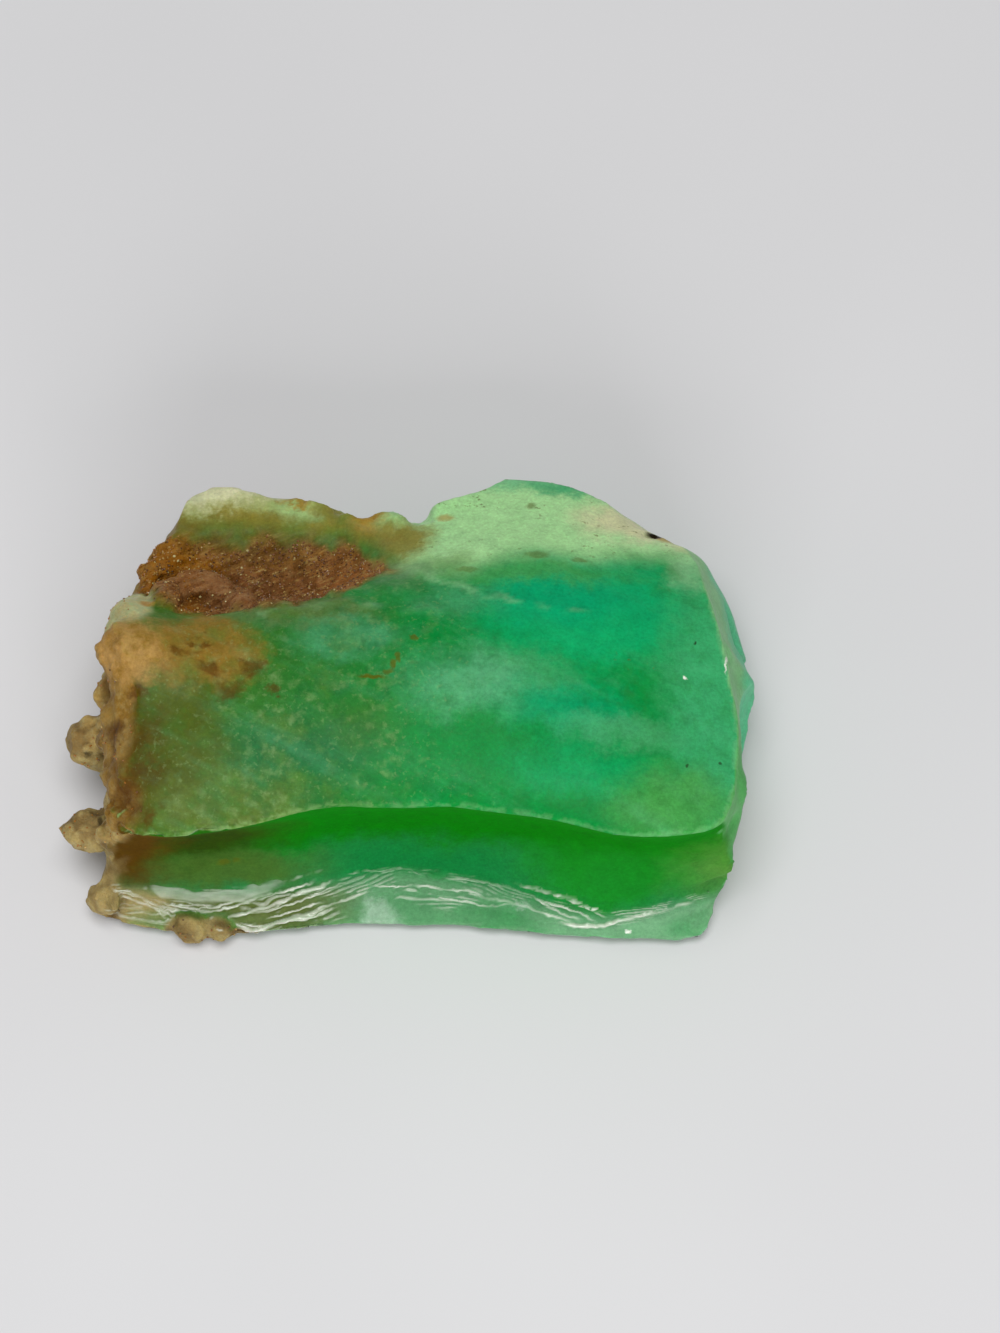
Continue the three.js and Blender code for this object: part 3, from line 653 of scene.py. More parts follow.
    surface.relax(0.25 * crust, 1)
    low, high = (np.array(corner) / MM for corner in CAD_BOX)
    surface.points = np.clip(surface.points, low, high)
    rear_from = along_x(x, REAR_LINE) + 0.5 * layered_noise(p, 1.6, 91)
    shaky = p[:, :2] + 0.35 * np.stack([noise(p, 1.1, 92), noise(p, 1.1, 93)], 1)
    # Frost along the ripples and ledges: partly white frost, partly painted glint where they catch the
    # light.
    glinting_frost = np.maximum(ripple * fine_frost_glint, on_foot * frost)
    # Painted shade: the crust's sunk creases and the pocket's fibre hollows are darkened, and the crack
    # beside the roll with them.
    crease_shade = crust * smooth_step(-0.35, -0.8, sunk) + in_pocket * smooth_step(-0.1, -0.55, fibres)
    thin_grains = 0.12 * crust * smooth_step(0.2, -0.3, noise(p, 2.2, 96))
    veins = [smooth_step(0.32, 0.06, distance_to_line(shaky, line)) for line in FACE_RIDGES]
    return {
        "crust": crust,
        "pocket": pocket,
        "ripple": ripple,
        "frost": glinting_frost * (1.0 - flat) * (1.0 - 0.5 * dim),
        # The flake's share: its frost colour is a painted reflection of the light in the smooth facet.
        "flake_sheen": flat * (0.62 + 0.4 * layered_noise(p * (0.3, 1.0, 1.0), 0.35, 39)),
        "front": front,
        "foot": front * smooth_step(-0.3, 1.1, below),
        "rear": smooth_step(-1.0, 1.9, surface.points[:, 1] - rear_from),
        # The edge share also carries the painted pale glint along the lip and the foot's bottom edge.
        "edge": np.maximum(lip, 0.8 * low_edge),
        "flank": smooth_step(0.35, 0.6, facing[:, 0]) * smooth_step(14.0, 16.5, x),
        # Painted shade in the creases, the hollows and along the crack.
        "crease": crease_shade + 0.9 * crack,
        "roll": rolled,
        "wedge": wedge_share(p) * smooth_step(0.3, 1.2, y),
        "grains": np.maximum(thin_grains, smooth_step(0.5, 1.0, pocket) * (1.0 - 0.7 * rolled)),
        "orange": in_pocket * knobs,
        "vein": on_top * smooth_step(-0.3, 0.5, noise(p, 0.9, 94)) * np.maximum.reduce(veins),
    }


# ---------------------------------------------------------------- grains


def grain_nodes():
    """Small crystals scattered where the mesh's own attribute says how thickly."""
    tree = bpy.data.node_groups.new("grains", "GeometryNodeTree")
    sockets = {}
    for name, kind in (
        ("Geometry", "NodeSocketGeometry"),
        ("Density", "NodeSocketFloat"),
        ("Smallest", "NodeSocketFloat"),
        ("Largest", "NodeSocketFloat"),
        ("Seed", "NodeSocketInt"),
        ("Material", "NodeSocketMaterial"),
    ):
        sockets[name] = tree.interface.new_socket(name, in_out="INPUT", socket_type=kind).identifier
    tree.interface.new_socket("Geometry", in_out="OUTPUT", socket_type="NodeSocketGeometry")

    def made(kind, settings=None, **values):
        node = tree.nodes.new(kind)
        for name, value in (settings or {}).items():
            setattr(node, name, value)
        for name, value in values.items():
            socket = node.inputs[int(name[1:])] if name[0] == "_" else node.inputs[name]
            if isinstance(value, bpy.types.NodeSocket):
                tree.links.new(value, socket)
            else:
                socket.default_value = value
        return node

    given = made("NodeGroupInput").outputs
    share = made("GeometryNodeInputNamedAttribute", {"data_type": "FLOAT"}, Name="grains").outputs[0]
    density = made("ShaderNodeMath", {"operation": "MULTIPLY"}, _0=share, _1=given["Density"]).outputs[0]
    points = made(
        "GeometryNodeDistributePointsOnFaces", Mesh=given["Geometry"], Density=density, Seed=given["Seed"]
    ).outputs["Points"]
    grain = made("GeometryNodeMeshIcoSphere", Radius=1.0, Subdivisions=1).outputs["Mesh"]
    turn = made("FunctionNodeRandomValue", {"data_type": "FLOAT_VECTOR"}, _1=(6.28, 6.28, 6.28)).outputs[0]
    size = made(
        "FunctionNodeRandomValue", {"data_type": "FLOAT_VECTOR"}, _0=given["Smallest"], _1=given["Largest"]
    ).outputs[0]
    grains = made("GeometryNodeInstanceOnPoints", Points=points, Instance=grain, Rotation=turn, Scale=size)
    tone = made("FunctionNodeRandomValue", {"data_type": "FLOAT"}, Seed=3).outputs[1]
    toned = made(
        "GeometryNodeStoreNamedAttribute",
        {"data_type": "FLOAT", "domain": "INSTANCE"},
        Geometry=grains.outputs[0],
        Name="tone",
        Value=tone,
    ).outputs[0]
    real = made("GeometryNodeRealizeInstances", Geometry=toned).outputs[0]
    real = made("GeometryNodeSetMaterial", Geometry=real, Material=given["Material"]).outputs[0]
    made("NodeGroupOutput", Geometry=real)
    return tree, sockets


# ---------------------------------------------------------------- shader maths


def linear(red, green, blue):
    """A colour given as it looks on screen, 0 to 255, as the linear values that nodes use."""
    return tuple(
        (c / 255.0) / 12.92 if c <= 10 else ((c / 255.0 + 0.055) / 1.055) ** 2.4
        for c in (red, green, blue)
    )


class Socket:
    """A node's output that can be used in Python expressions."""

    def __init__(self, tree, output):
        self.tree = tree
        self.output = output

    def __add__(self, other):
        return self.tree.maths("ADD", self, other)

    def __sub__(self, other):
        return self.tree.maths("SUBTRACT", self, other)

    def __rsub__(self, other):
        return self.tree.maths("SUBTRACT", other, self)

    def __mul__(self, other):
        return self.tree.maths("MULTIPLY", self, other)

    __radd__ = __add__
    __rmul__ = __mul__


class Tree:
    """A material's nodes, made by name. A colour can be given as its name in the settings."""

    def __init__(self, name, colours=None):
        self.material = bpy.data.materials.new(name)
        self.material.use_nodes = True
        self.nodes = self.material.node_tree.nodes
        self.links = self.material.node_tree.links
        self.colours = colours
        self.nodes.clear()
        coordinates = self.node("ShaderNodeTexCoord", result="Object")
        self.place = self.vector("SCALE", coordinates, scale=1.0 / MM)

    def put(self, socket, value):
        if isinstance(value, str):
            value = getattr(self.colours, value)
        if isinstance(value, Socket):
            self.links.new(value.output, socket)
        elif socket.type == "RGBA" and len(value) == 3:
            socket.default_value = (*value, 1.0)
        else:
            socket.default_value = value

    def node(self, kind, settings=None, values=(), result=0):
        """Makes a node. Values fill its sockets, in order or by name."""
        made = self.nodes.new(kind)
        for name, value in (settings or {}).items():
            setattr(made, name, value)
        pairs = values.items() if isinstance(values, dict) else enumerate(values)
        for key, value in pairs:
            if value is not None:
                self.put(made.inputs[key], value)
        if result is None:
            return made
        return Socket(self, made.outputs[result])

    def maths(self, operation, *values):
        return self.node("ShaderNodeMath", {"operation": operation}, values)

    def maximum(self, a, b):
        return self.maths("MAXIMUM", a, b)

    def vector(self, operation, a, b=None, scale=None, result=0):
        values = {0: a, 1: b, "Scale": scale}
        return self.node("ShaderNodeVectorMath", {"operation": operation}, values, result)

    def axes(self, place):
        split = self.node("ShaderNodeSeparateXYZ", {}, (place,), None)
        return (Socket(self, output) for output in split.outputs)

    def attribute(self, name):
        return self.node("ShaderNodeAttribute", {"attribute_name": name}, (), "Fac")

    def step(self, value, low, high):
        """Rises smoothly from 0 to 1 between low and high, or falls if high is the lower."""
        falls = high < low
        ends = {1: high, 2: low, 3: 1.0, 4: 0.0} if falls else {1: low, 2: high, 3: 0.0, 4: 1.0}
        return self.node(
            "ShaderNodeMapRange", {"interpolation_type": "SMOOTHSTEP"}, {0: value, **ends}
        )

    def noise(self, size, detail=3.0, roughness=0.5, stretch=None, shift=None, result=0):
        """Noise with features of the given size in millimetres, about 0.5 in the middle."""
        place = self.place
        if shift:
            place = self.vector("ADD", place, shift)
        if stretch:
            place = self.vector("MULTIPLY", place, stretch)
        values = {"Vector": place, "Scale": 1.0 / size, "Detail": detail, "Roughness": roughness}
        return self.node("ShaderNodeTexNoise", {}, values, result)

    def streaks(self, degrees, sizes, roughness):
        """Noise drawn out along a line that is turned round the z axis."""
        values = {"Vector": self.place, "Rotation": (0.0, 0.0, math.radians(degrees)), "Scale": sizes}
        turned = self.node("ShaderNodeMapping", {"vector_type": "TEXTURE"}, values)
        values = {"Vector": turned, "Scale": 1.0, "Detail": 4.0, "Roughness": roughness}
        return self.node("ShaderNodeTexNoise", {}, values)

    def wander(self, noise, reach):
        """The place, moved about by the colours of a noise."""
        moved = self.vector("SUBTRACT", noise, (0.5, 0.5, 0.5))
        return self.vector("ADD", self.place, self.vector("SCALE", moved, scale=reach))

    def region(self, place, centre, radii, inner=0.0, outer=1.0):
        """1 within the inner share of an ellipsoid, falling to 0 at its outer share."""
        away = self.vector("SUBTRACT", place, centre)
        away = self.vector("DIVIDE", away, radii)
        distance = self.vector("LENGTH", away, result="Value")
        return self.step(distance, outer, inner)

    def mix(self, share, a, b):
        settings = {"data_type": "RGBA", "clamp_factor": True}
        return self.node("ShaderNodeMix", settings, {0: share, 6: a, 7: b}, 2)

    def over(self, colour, *layers):
        """Lays colours over a colour. Each layer is a share and a colour."""
        for share, layer in layers:
            colour = self.mix(share, colour, layer)
        return colour

    def zoned(self, colour, place, zones):
        """Lays a table's zones over a colour."""
        for name, centre, radii, inner, strength in zones:
            colour = self.mix(strength * self.region(place, centre, radii, inner), colour, name)
        return colour

    def bump(self, strength, distance, height, under=None):
        """A bump with its distance in millimetres, over another one."""
        values = {"Strength": strength, "Distance": distance * MM, "Height": height, "Normal": under}
        return self.node("ShaderNodeBump", {}, values)

    def shader(self, colour, roughness, settings=None, **values):
        """A surface. An underscore stands for the space in a socket's name."""
        values = {name.replace("_", " "): value for name, value in values.items()}
        values = {"Base Color": colour, "Roughness": roughness, **values}
        return self.node("ShaderNodeBsdfPrincipled", settings, values)

    def finish(self, surface):
        self.node("ShaderNodeOutputMaterial", {}, {"Surface": surface}, None)
        return self.material


# ---------------------------------------------------------------- materials

# Colour zones: name, middle in mm, radii in mm, share of the radii that is full, strength.
FACE_ZONES = (
    ("emerald", (10.5, 3, 13), (9.5, 6.6, 9), 0.45, 1),
    ("teal", (9, 3.2, 12.5), (7, 3, 9), 0.2, 0.8),
    ("sea_pale", (2.6, 3.2, 13), (4.2, 2.4, 8), 0.1, 0.6),
    ("sea_green", (-6.5, -7.4, 13), (7, 3.4, 9), 0.3, 0.8),
    ("milk", (4.2, -2.8, 13.5), (7, 3.2, 9), 0.1, 0.75),
    ("teal", (9.4, -4.4, 13), (6, 2.6, 9), 0.2, 0.7),
    ("emerald", (10.4, -8, 13), (6.5, 2.6, 9), 0.2, 0.6),
    ("milk", (13, -5.6, 13), (7, 1.5, 9), 0.1, 0.4),
    ("lime", (7.6, 5.2, 12), (8, 1.5, 8), 0.2, 0.65),
    ("rim", (17, 6, 11), (2.6, 2.6, 8), 0.1, 0.8),
    ("jade", (18.8, -3, 11), (5.4, 13, 9), 0.3, 0.9),
    ("lime", (16, -9.8, 12), (6, 3.6, 5), 0.25, 0.8),
    ("leaf_green", (-3, -5.4, 14), (4, 2.4, 8), 0.1, 0.4),
    ("olive", (-14.2, -5.4, 13), (5.2, 8, 9), 0.35, 0.95),
    ("sage", (-10.5, -10.6, 12.5), (7.5, 2.7, 5), 0.2, 0.75),
    ("sage_blue", (-6, 1.9, 13), (6, 1.6, 8), 0.3, 0.45),
    ("sage", (-6, 2.2, 13), (6, 1.3, 8), 0.3, 0.55),
    ("sea_pale", (-3.4, 0.2, 13), (4.6, 2.2, 8), 0.2, 0.8),
    ("sage_blue", (-0.5, 5.4, 11), (3, 2.2, 5), 0.2, 0.7),
    ("tan_olive", (-12, -0.5, 14), (4.2, 3.4, 8), 0.5, 0.9),
    ("umber", (-17.4, -6.5, 12.5), (4.2, 8, 9), 0.3, 0.9),
    ("tan_olive", (-18.4, -6, 12.5), (2.4, 8, 9), 0.2, 0.6),
)

# Iron stains on the top face: middle and radii in mm.
STAINS = (
    ((-13.3, -1.3, 13.8), (0.9, 0.7, 2)),
    ((-11.7, -2.15, 13.8), (1.1, 0.7, 2)),
    ((-10.3, -3.1, 13.8), (1.2, 1, 2)),
    ((-9.4, -1.55, 13.8), (1, 0.8, 2)),
    ((-12.4, -0.4, 13.8), (0.7, 0.5, 2)),
    ((-8.2, -3, 13.8), (0.6, 0.4, 2)),
    ((-17, -5.6, 12.6), (1.1, 1, 2)),
    ((-16.4, -8.8, 12.5), (1.1, 1.4, 2)),
    ((-15.2, -10.8, 12.3), (1.2, 0.8, 2)),
    ((-15.6, -3.6, 13.4), (0.9, 0.6, 2)),
)

REAR_ZONES = (
    ("mint_edge", (7, 14.2, 6.8), (6.5, 2.2, 6), 0.3, 0.9),
    ("jade", (10.2, 13.4, 6.5), (4.6, 1.4, 6), 0.2, 0.8),
    ("cream", (13.2, 10.2, 7.6), (4.8, 2.8, 6), 0.2, 0.9),
    ("cream", (17.2, 8.2, 8), (2.6, 1.8, 6), 0.2, 0.7),
    ("ochre_green", (-0.6, 8, 9.2), (2.8, 2.6, 6), 0.2, 0.9),
    ("ochre_green", (-3.6, 8.4, 9.2), (3.6, 1.9, 6), 0.3, 0.9),
    ("brown", (-3.2, 7.6, 9.2), (3, 1.3, 6), 0.2, 0.7),
    ("drift_olive", (2, 5.4, 10), (3.4, 1.8, 6), 0.2, 0.5),
    ("moss", (-10, 11, 8), (8, 5, 6), 0.6, 1),
    ("leaf_pale", (-7.2, 10.5, 8), (2.8, 1.6, 6), 0.2, 0.5),
    ("ochre_green", (-10.2, 9.3, 8.6), (7.4, 1.9, 6), 0.35, 0.9),
    ("brown", (-14.6, 10, 8.4), (2, 2.6, 6), 0.3, 0.85),
    ("ochre_green", (-11, 9.6, 8.6), (6.4, 2, 6), 0.4, 0.6),
    ("brown", (-13.8, 9, 8.6), (4.4, 2.2, 6), 0.35, 0.9),
    ("cream_olive", (-11.4, 13.2, 7.4), (5, 2.7, 6), 0.5, 1),
    ("ochre", (-7, 11.7, 7.9), (1.3, 0.7, 1.4), 0.3, 0.8),
    ("ochre_green", (-4.4, 11, 8.2), (2.4, 1.6, 6), 0.3, 0.85),
    ("ochre", (-4.2, 9.3, 8.2), (3.6, 1.5, 6), 0.3, 0.75),
    ("ochre", (-2.4, 10.3, 8.8), (2.2, 1.4, 6), 0.3, 0.95),
)

FRONT_ZONES = (
    ("dark_olive", (-12.4, -9.8, 8.8), (7.2, 5, 5.6), 0.3, 0.92),
    ("moss_dark", (-11, -10.8, 4.4), (8, 5, 2.6), 0.3, 0.85),
    ("teal_deep", (0.5, -10.5, 4), (8.5, 5, 2.4), 0.3, 0.8),
    ("front_bright", (12, -11.6, 5), (8, 5, 4), 0.3, 0.85),
    ("olive_lime", (19.6, -11.8, 5.2), (5.6, 5, 5.6), 0, 0.95),
    ("umber", (-17.8, -10, 8), (5.2, 5.5, 9), 0.4, 1),
)

FOOT_ZONES = (
    ("foot_olive", (-10.5, -12.6, 2), (9, 3.5, 3.2), 0.4, 0.95),
    ("taupe", (-17.6, -12.4, 2), (4.2, 3, 2.6), 0.35, 0.9),
    ("taupe", (-12.8, -13.9, 0.9), (6, 1.5, 0.9), 0.4, 0.7),
    ("haze", (-1.7, -12.8, 1.5), (1.9, 1.6, 1.6), 0.1, 0.85),
    ("haze", (6.6, -12.1, 2.3), (0.7, 0.6, 0.5), 0.3, 0.6),
    ("foot_pale", (14.5, -13.4, 1.4), (9, 3, 2.6), 0.4, 1),
)

# Small marks: name, middle in mm, radii in mm, strength.
MARKS = (
    ("ochre_dark", (-2.15, -2.55, 14), (1, 0.2, 0.9), 0.9),
    ("ochre_dark", (-1.15, -2.25, 14), (0.4, 0.2, 0.9), 0.7),
    ("ochre_dark", (-0.85, -1.75, 14), (0.24, 0.5, 0.9), 0.8),
    ("ochre_dark", (-0.55, -1.3, 14), (0.22, 0.35, 0.9), 0.7),
    ("ochre_dark", (0.35, 0.1, 13.8), (0.34, 0.2, 0.9), 0.75),
    ("ochre_dark", (3.1, 12.5, 7.5), (0.45, 0.3, 0.9), 0.6),
    ("ochre_dark", (7.3, 11.3, 8.2), (0.4, 0.35, 0.9), 0.6),
    ("ochre", (2, 10.4, 8.8), (0.7, 0.4, 0.9), 0.6),
    ("ochre_dark", (10.2, 6.3, 11), (0.6, 0.25, 0.9), 0.5),
    ("ochre_dark", (7.6, 6.6, 11.2), (0.9, 0.4, 0.9), 0.5),
    ("ochre_dark", (3.4, 5.3, 12), (0.8, 0.3, 0.9), 0.4),
    # The dark pits below are painted shade, in pits that the mesh doesn't hollow out.
    ("pit_black", (17, 0.6, 11.9), (0.14, 0.14, 0.9), 0.8),
    ("pit_black", (16.4, -7.4, 12.2), (0.14, 0.15, 0.9), 0.7),
    ("pit_black", (18.4, -7.1, 11.5), (0.13, 0.14, 0.9), 0.7),
    ("ochre", (15.6, 9.3, 7.8), (1, 0.8, 1.6), 0.7),
    ("pit_black", (14.9, 9.6, 7.8), (0.75, 0.42, 1.2), 1),
    ("pit_black", (-19.3, -4.4, 6.5), (0.3, 0.35, 0.5), 0.7),
    ("pit_black", (-18.5, -8.3, 5.7), (0.2, 0.5, 0.5), 0.7),
    ("ochre", (-15.6, 2.9, 12.4), (0.5, 0.5, 0.9), 0.8),
    ("ochre_dark", (-11.1, -10.7, 5.3), (0.5, 0.5, 0.34), 0.6),
    ("ochre_dark", (-10.3, -10.6, 5.4), (0.35, 0.5, 0.3), 0.5),
    # The white chips below are painted highlights: a glint streak down the right ridge and small bright
    # chips.
    ("white_chip", (16.4, -1.8, 12.4), (0.15, 0.15, 0.9), 1),
    ("white_chip", (18.85, -0.5, 11.25), (0.1, 0.8, 0.6), 0.75),
    ("white_chip", (13.1, -13.75, 1.35), (0.26, 0.5, 0.14), 1),
)


def marbling(tree, colour, amount):
    """Milky spots, olive drifts, slanting streaks and a fine grain."""
    x, _, _ = tree.axes(tree.place)
    middle = tree.step(x, -17.0, -9.0) * tree.step(x, 16.0, 7.0) * amount
    clear = tree.maximum(
        tree.region(tree.place, (10.5, 1.8, 13.0), (8.0, 3.8, 9.0), 0.5),
        tree.region(tree.place, (8.0, -6.6, 13.0), (9.0, 3.4, 9.0), 0.5),
    )
    cloudy = (1.0 - 0.8 * clear) * amount
    drifts = tree.step(tree.noise(2.3, 4.0, 0.6, shift=(3, 8, 1)), 0.48, 0.7)
    cool = tree.step(tree.noise(1.9, 3.0, 0.6, shift=(6, 6, 1)), 0.5, 0.68)
    cool = 0.4 * cool * cloudy * tree.step(x, 10.0, 4.0)
    slanted = tree.streaks(-27.0, (9.0, 1.4, 3.0), 0.6)
    spots = tree.step(tree.noise(0.8, 3.0, 0.55, shift=(5, 1, 7)), 0.5, 0.75)
    crowd = tree.step(tree.noise(4.5, 2.0, 0.5, shift=(1, 2, 3)), 0.36, 0.62)
    clouds = tree.noise(1.3, 4.0, 0.65, shift=(7, 3, 9))
    flecks = tree.step(tree.noise(0.32, 3.0, 0.6, shift=(6, 2, 5)), 0.56, 0.72)
    return tree.over(
        colour,
        (0.55 * drifts * middle * tree.step(x, 1.0, -6.0), "drift_olive"),
        (cool * tree.step(x, -14.0, -10.0), "sea_green"),
        (0.16 * cloudy * tree.step(slanted, 0.48, 0.75), "milk"),
        (0.4 * spots * crowd * middle * cloudy * tree.step(x, 6.0, -3.0), "spot_milk"),
        (0.3 * cloudy * tree.step(clouds, 0.55, 0.3), "green"),
        (0.1 * cloudy * tree.step(clouds, 0.5, 0.75), "milk"),
        (0.26 * flecks * cloudy * tree.step(x, 8.0, 0.0), "spot_milk"),
    )


def green_body(tree, place):
    """The faces of the green stone, its flank, and its edges with a painted pale glint along them."""
    x, y, z = tree.axes(place)
    face = tree.mix(tree.step(x, -14.0, -4.0), "leaf_green", "green")
    face = tree.mix(tree.step(x, -5.0, 2.0), face, "green_bright")
    face = tree.zoned(face, place, FACE_ZONES)
    face = tree.mix(0.42 * tree.attribute("vein"), face, "rim")
    low = tree.step(z, 6.8, 5.2)
    # The rear lobes' pale green is partly painted glow of light passing through the thin stone.
    rear = tree.zoned("leaf_pale", place, REAR_ZONES)
    # Painted shade: below 5 mm the back's jade darkens to the deeper body green towards the floor.
    rear = tree.mix(0.8 * low, rear, tree.mix(tree.step(z, 5.0, 1.0), "jade", "green_bright"))
    back = tree.attribute("rear")
    colour = marbling(tree, tree.mix(back, face, rear), 1.0 - 0.75 * back * (1.0 - low))

    specks = tree.step(tree.noise(0.4, 3.0, 0.6, shift=(2, 9, 4)), 0.62, 0.68)
    specks = specks * tree.step(tree.noise(2.6, 2.0, 0.5, shift=(5, 5, 2)), 0.45, 0.58)
    right = 1.5 * tree.region(place, (14.0, -0.8, 12.8), (2.6, 1.8, 3.0))
    specked = tree.maximum(back * tree.step(x, -2.0, 2.0), right)
    flank = tree.mix(tree.step(z, 8.8, 6.8), "pale_olive", "blue_green")
    flank = tree.mix(tree.step(y, -2.0, -6.0), flank, "lime")
    corner = tree.region(place, (18.8, -13.2, 1.6), (3.6, 3.0, 3.0), 0.4)
    edge = tree.attribute("edge")
    below_lip = tree.attribute("front") * (1.0 - 0.9 * tree.step(edge, 0.45, 0.85))
    deep = tree.mix(tree.step(z, 7.5, 3.5), "deep_green", "scoop_low")
    # Painted highlight: a broken pale line along the lip, the ridge and the foot's edge, milky at the left.
    rim_glint = edge * tree.step(tree.noise(0.6, 2.0, 0.5), 0.2, 0.6)
    rim_glint_share = 0.2 + 0.3 * tree.step(x, -3.0, -8.0)
    return tree.over(
        colour,
        (0.6 * specked * specks, "ochre_dark"),
        (0.85 * tree.attribute("flank"), flank),
        (0.85 * corner, "foot_pale"),
        (below_lip, tree.zoned(deep, place, FRONT_ZONES)),
        (tree.attribute("foot"), tree.zoned("foot_green", place, FOOT_ZONES)),
        (
            rim_glint_share * tree.step(rim_glint, 0.3, 1.0),
            tree.mix(tree.step(x, -4.0, 4.0), "spot_milk", "rim"),
        ),
    )


def crust_colour(tree, place, patches, fine, rusty):
    """Straw, tan and brown knobs, browner down the left end."""
    x, y, z = tree.axes(place)
    top_rim = tree.step(z, 9.0, 11.0) * tree.step(x, -19.0, -18.0)
    wall = tree.step(x, -18.9, -17.9) * tree.step(z, 8.5, 6.0)
    wall = wall * tree.step(y, -13.4, -12.6)
    return tree.over(
        tree.mix(tree.step(patches, 0.48, 0.62), "tan", "brown"),
        (0.7 * tree.step(fine, 0.46, 0.66), "straw"),
        (0.35 * rusty, "rust"),
        (0.85 * wall, "umber"),
        (0.7 * top_rim, tree.mix(tree.step(patches, 0.4, 0.6), "brown", "tan_olive")),
        (0.7 * tree.step(z, 9.0, 5.0), "taupe"),
    )


def pocket_colour(tree, place, patches, rusty):
    """Brown fibres and folds with painted shade in their hollows, orange at the left and red at the right.
    """
    x, y, _ = tree.axes(place)
    fibres = tree.streaks(25.0, (1.3, 0.26, 0.5), 0.65)
    folds = tree.noise(1.5, 3.0, 0.6, shift=(1, 6, 6), stretch=(2.0, 1.0, 1.0))
    thin = tree.region(place, (-17.0, 8.6, 8.0), (3.2, 3.4, 5.0), 0.2)
    return tree.over(
        tree.mix(tree.step(x, -14.0, -11.0), "orange_brown", "mauve_brown"),
        (tree.step(x, -6.5, -3.5), "rust_red"),
        (0.55 * tree.step(y, 6.2, 8.6), "tan_olive"),
        # Painted shade: dark brown in the hollows of the folds and between the fibres, with the folds'
        # crowns lighter.
        (0.4 * tree.step(folds, 0.5, 0.36), "crease"),
        (0.4 * tree.step(folds, 0.52, 0.66), "clay"),
        (0.6 * tree.step(fibres, 0.52, 0.68), "tan"),
        (0.65 * tree.step(fibres, 0.46, 0.32), "crease"),
        (0.45 * rusty, "rust"),
        (0.6 * tree.attribute("orange"), "orange_brown"),
        (0.65 * thin * tree.step(patches, 0.35, 0.6), "tan"),
        (0.8 * tree.attribute("roll"), tree.mix(tree.step(fibres, 0.35, 0.65), "mauve_brown", "clay")),
    )


def stone_colour(tree):
    """The green body, then the crust and the pocket, then painted shade in the creases, stains, and marks
    with painted shade in pits and painted glints, then frost with painted glint and the flake's painted
    reflection.
    """
    place = tree.wander(tree.noise(10 / 3, 5.0, 0.72, result="Color"), 4.6)
    patches = tree.noise(2.0, 4.0, 0.65)
    fine = tree.noise(0.45, 4.0, 0.65, shift=(2, 5, 3))
    rusty = tree.step(tree.noise(1.5, 3.0, 0.6, shift=(9, 4, 2)), 0.53, 0.66)
    wedge = tree.mix(tree.step(fine, 0.35, 0.7), "wedge_green", "straw")
    peach = tree.region(place, (-16.5, -0.8, 14.5), (3.2, 2.9, 4.0), 0.5)
    sugar = tree.step(tree.noise(1.1, 4.0, 0.7, shift=(4, 4, 4)), 0.3, 0.6)
    stains = tree.region(place, *STAINS[0], 0.2)
    for centre, radii in STAINS[1:]:
        stains = tree.maximum(stains, tree.region(place, centre, radii, 0.2))
    colour = tree.over(
        green_body(tree, place),
        (tree.attribute("crust"), crust_colour(tree, place, patches, fine, rusty)),
        (tree.attribute("pocket"), pocket_colour(tree, place, patches, rusty)),
        # Painted shade in the creases and along the crack.
        (0.55 * tree.attribute("crease"), "crease"),
        (0.9 * tree.attribute("wedge"), wedge),
        (0.68 * stains, "rust"),
        (0.9 * peach, tree.mix(sugar, "tan_olive", "peach")),
    )

    close = tree.wander(tree.noise(1 / 2.2, result="Color"), 0.55)
    for name, centre, radii, strength in MARKS:
        colour = tree.mix(strength * tree.region(close, centre, radii, 0.45, 1.1), colour, name)

    # A fine grain and a broader mottling, in the colour's own hue.
    grain = 0.4 + 0.75 * tree.noise(0.2, 3.0, 0.75) + 0.45 * tree.noise(0.9, 3.0, 0.6, shift=(8, 8, 8))
    return tree.over(
        tree.vector("SCALE", colour, scale=grain),
        # Frost on the ledges and ripples, partly painted glint.
        (0.75 * tree.attribute("frost"), "frost"),
        # Painted reflection on the smooth flake.
        (0.55 * tree.attribute("flake_sheen"), "frost"),
    )


def stone_material(settings, colours):
    """Waxy translucent chalcedony, with a dull grainy crust over part of it."""
    tree = Tree("chrysoprase", colours)
    colour = stone_colour(tree)
    ripple = tree.attribute("ripple")
    scoop = tree.attribute("front") - tree.attribute("foot")
    satin = tree.noise(0.5, 3.0, 0.6)
    fine = tree.noise(0.16, 4.0, 0.65)
    hair = tree.noise(0.14, 3.0, 0.6, stretch=(0.2, 1.0, 1.0))
    walk = {"subsurface_method": "RANDOM_WALK"}
    gem = tree.shader(
        colour,
        0.36 + 0.45 * scoop - 0.1 * ripple + 0.12 * (satin - 0.5),
        walk,
        IOR=1.54,
        Specular_IOR_Level=0.06,
        Coat_Weight=tree.maximum(tree.attribute("frost"), 0.4 * tree.attribute("flake_sheen")),
        Coat_Roughness=0.12,
        Subsurface_Weight=settings.glow,
        Subsurface_Radius=(0.55, 1.0, 0.65),
        Subsurface_Scale=settings.glow_depth * MM,
        Normal=tree.bump(0.5, 0.1, hair * ripple, tree.bump(0.3, 0.05, satin)),
    )
    dull = tree.shader(
        colour,
        0.6 - 0.25 * fine,
        walk,
        IOR=1.5,
        Specular_IOR_Level=0.08,
        Subsurface_Weight=0.4,
        Subsurface_Radius=(1.0, 0.7, 0.4),
        Subsurface_Scale=0.5 * MM,
        Normal=tree.bump(0.8, 0.12, fine),
    )
    rough = tree.maximum(tree.attribute("crust"), tree.attribute("pocket"))
    return tree.finish(tree.node("ShaderNodeMixShader", {}, (rough, gem, dull)))


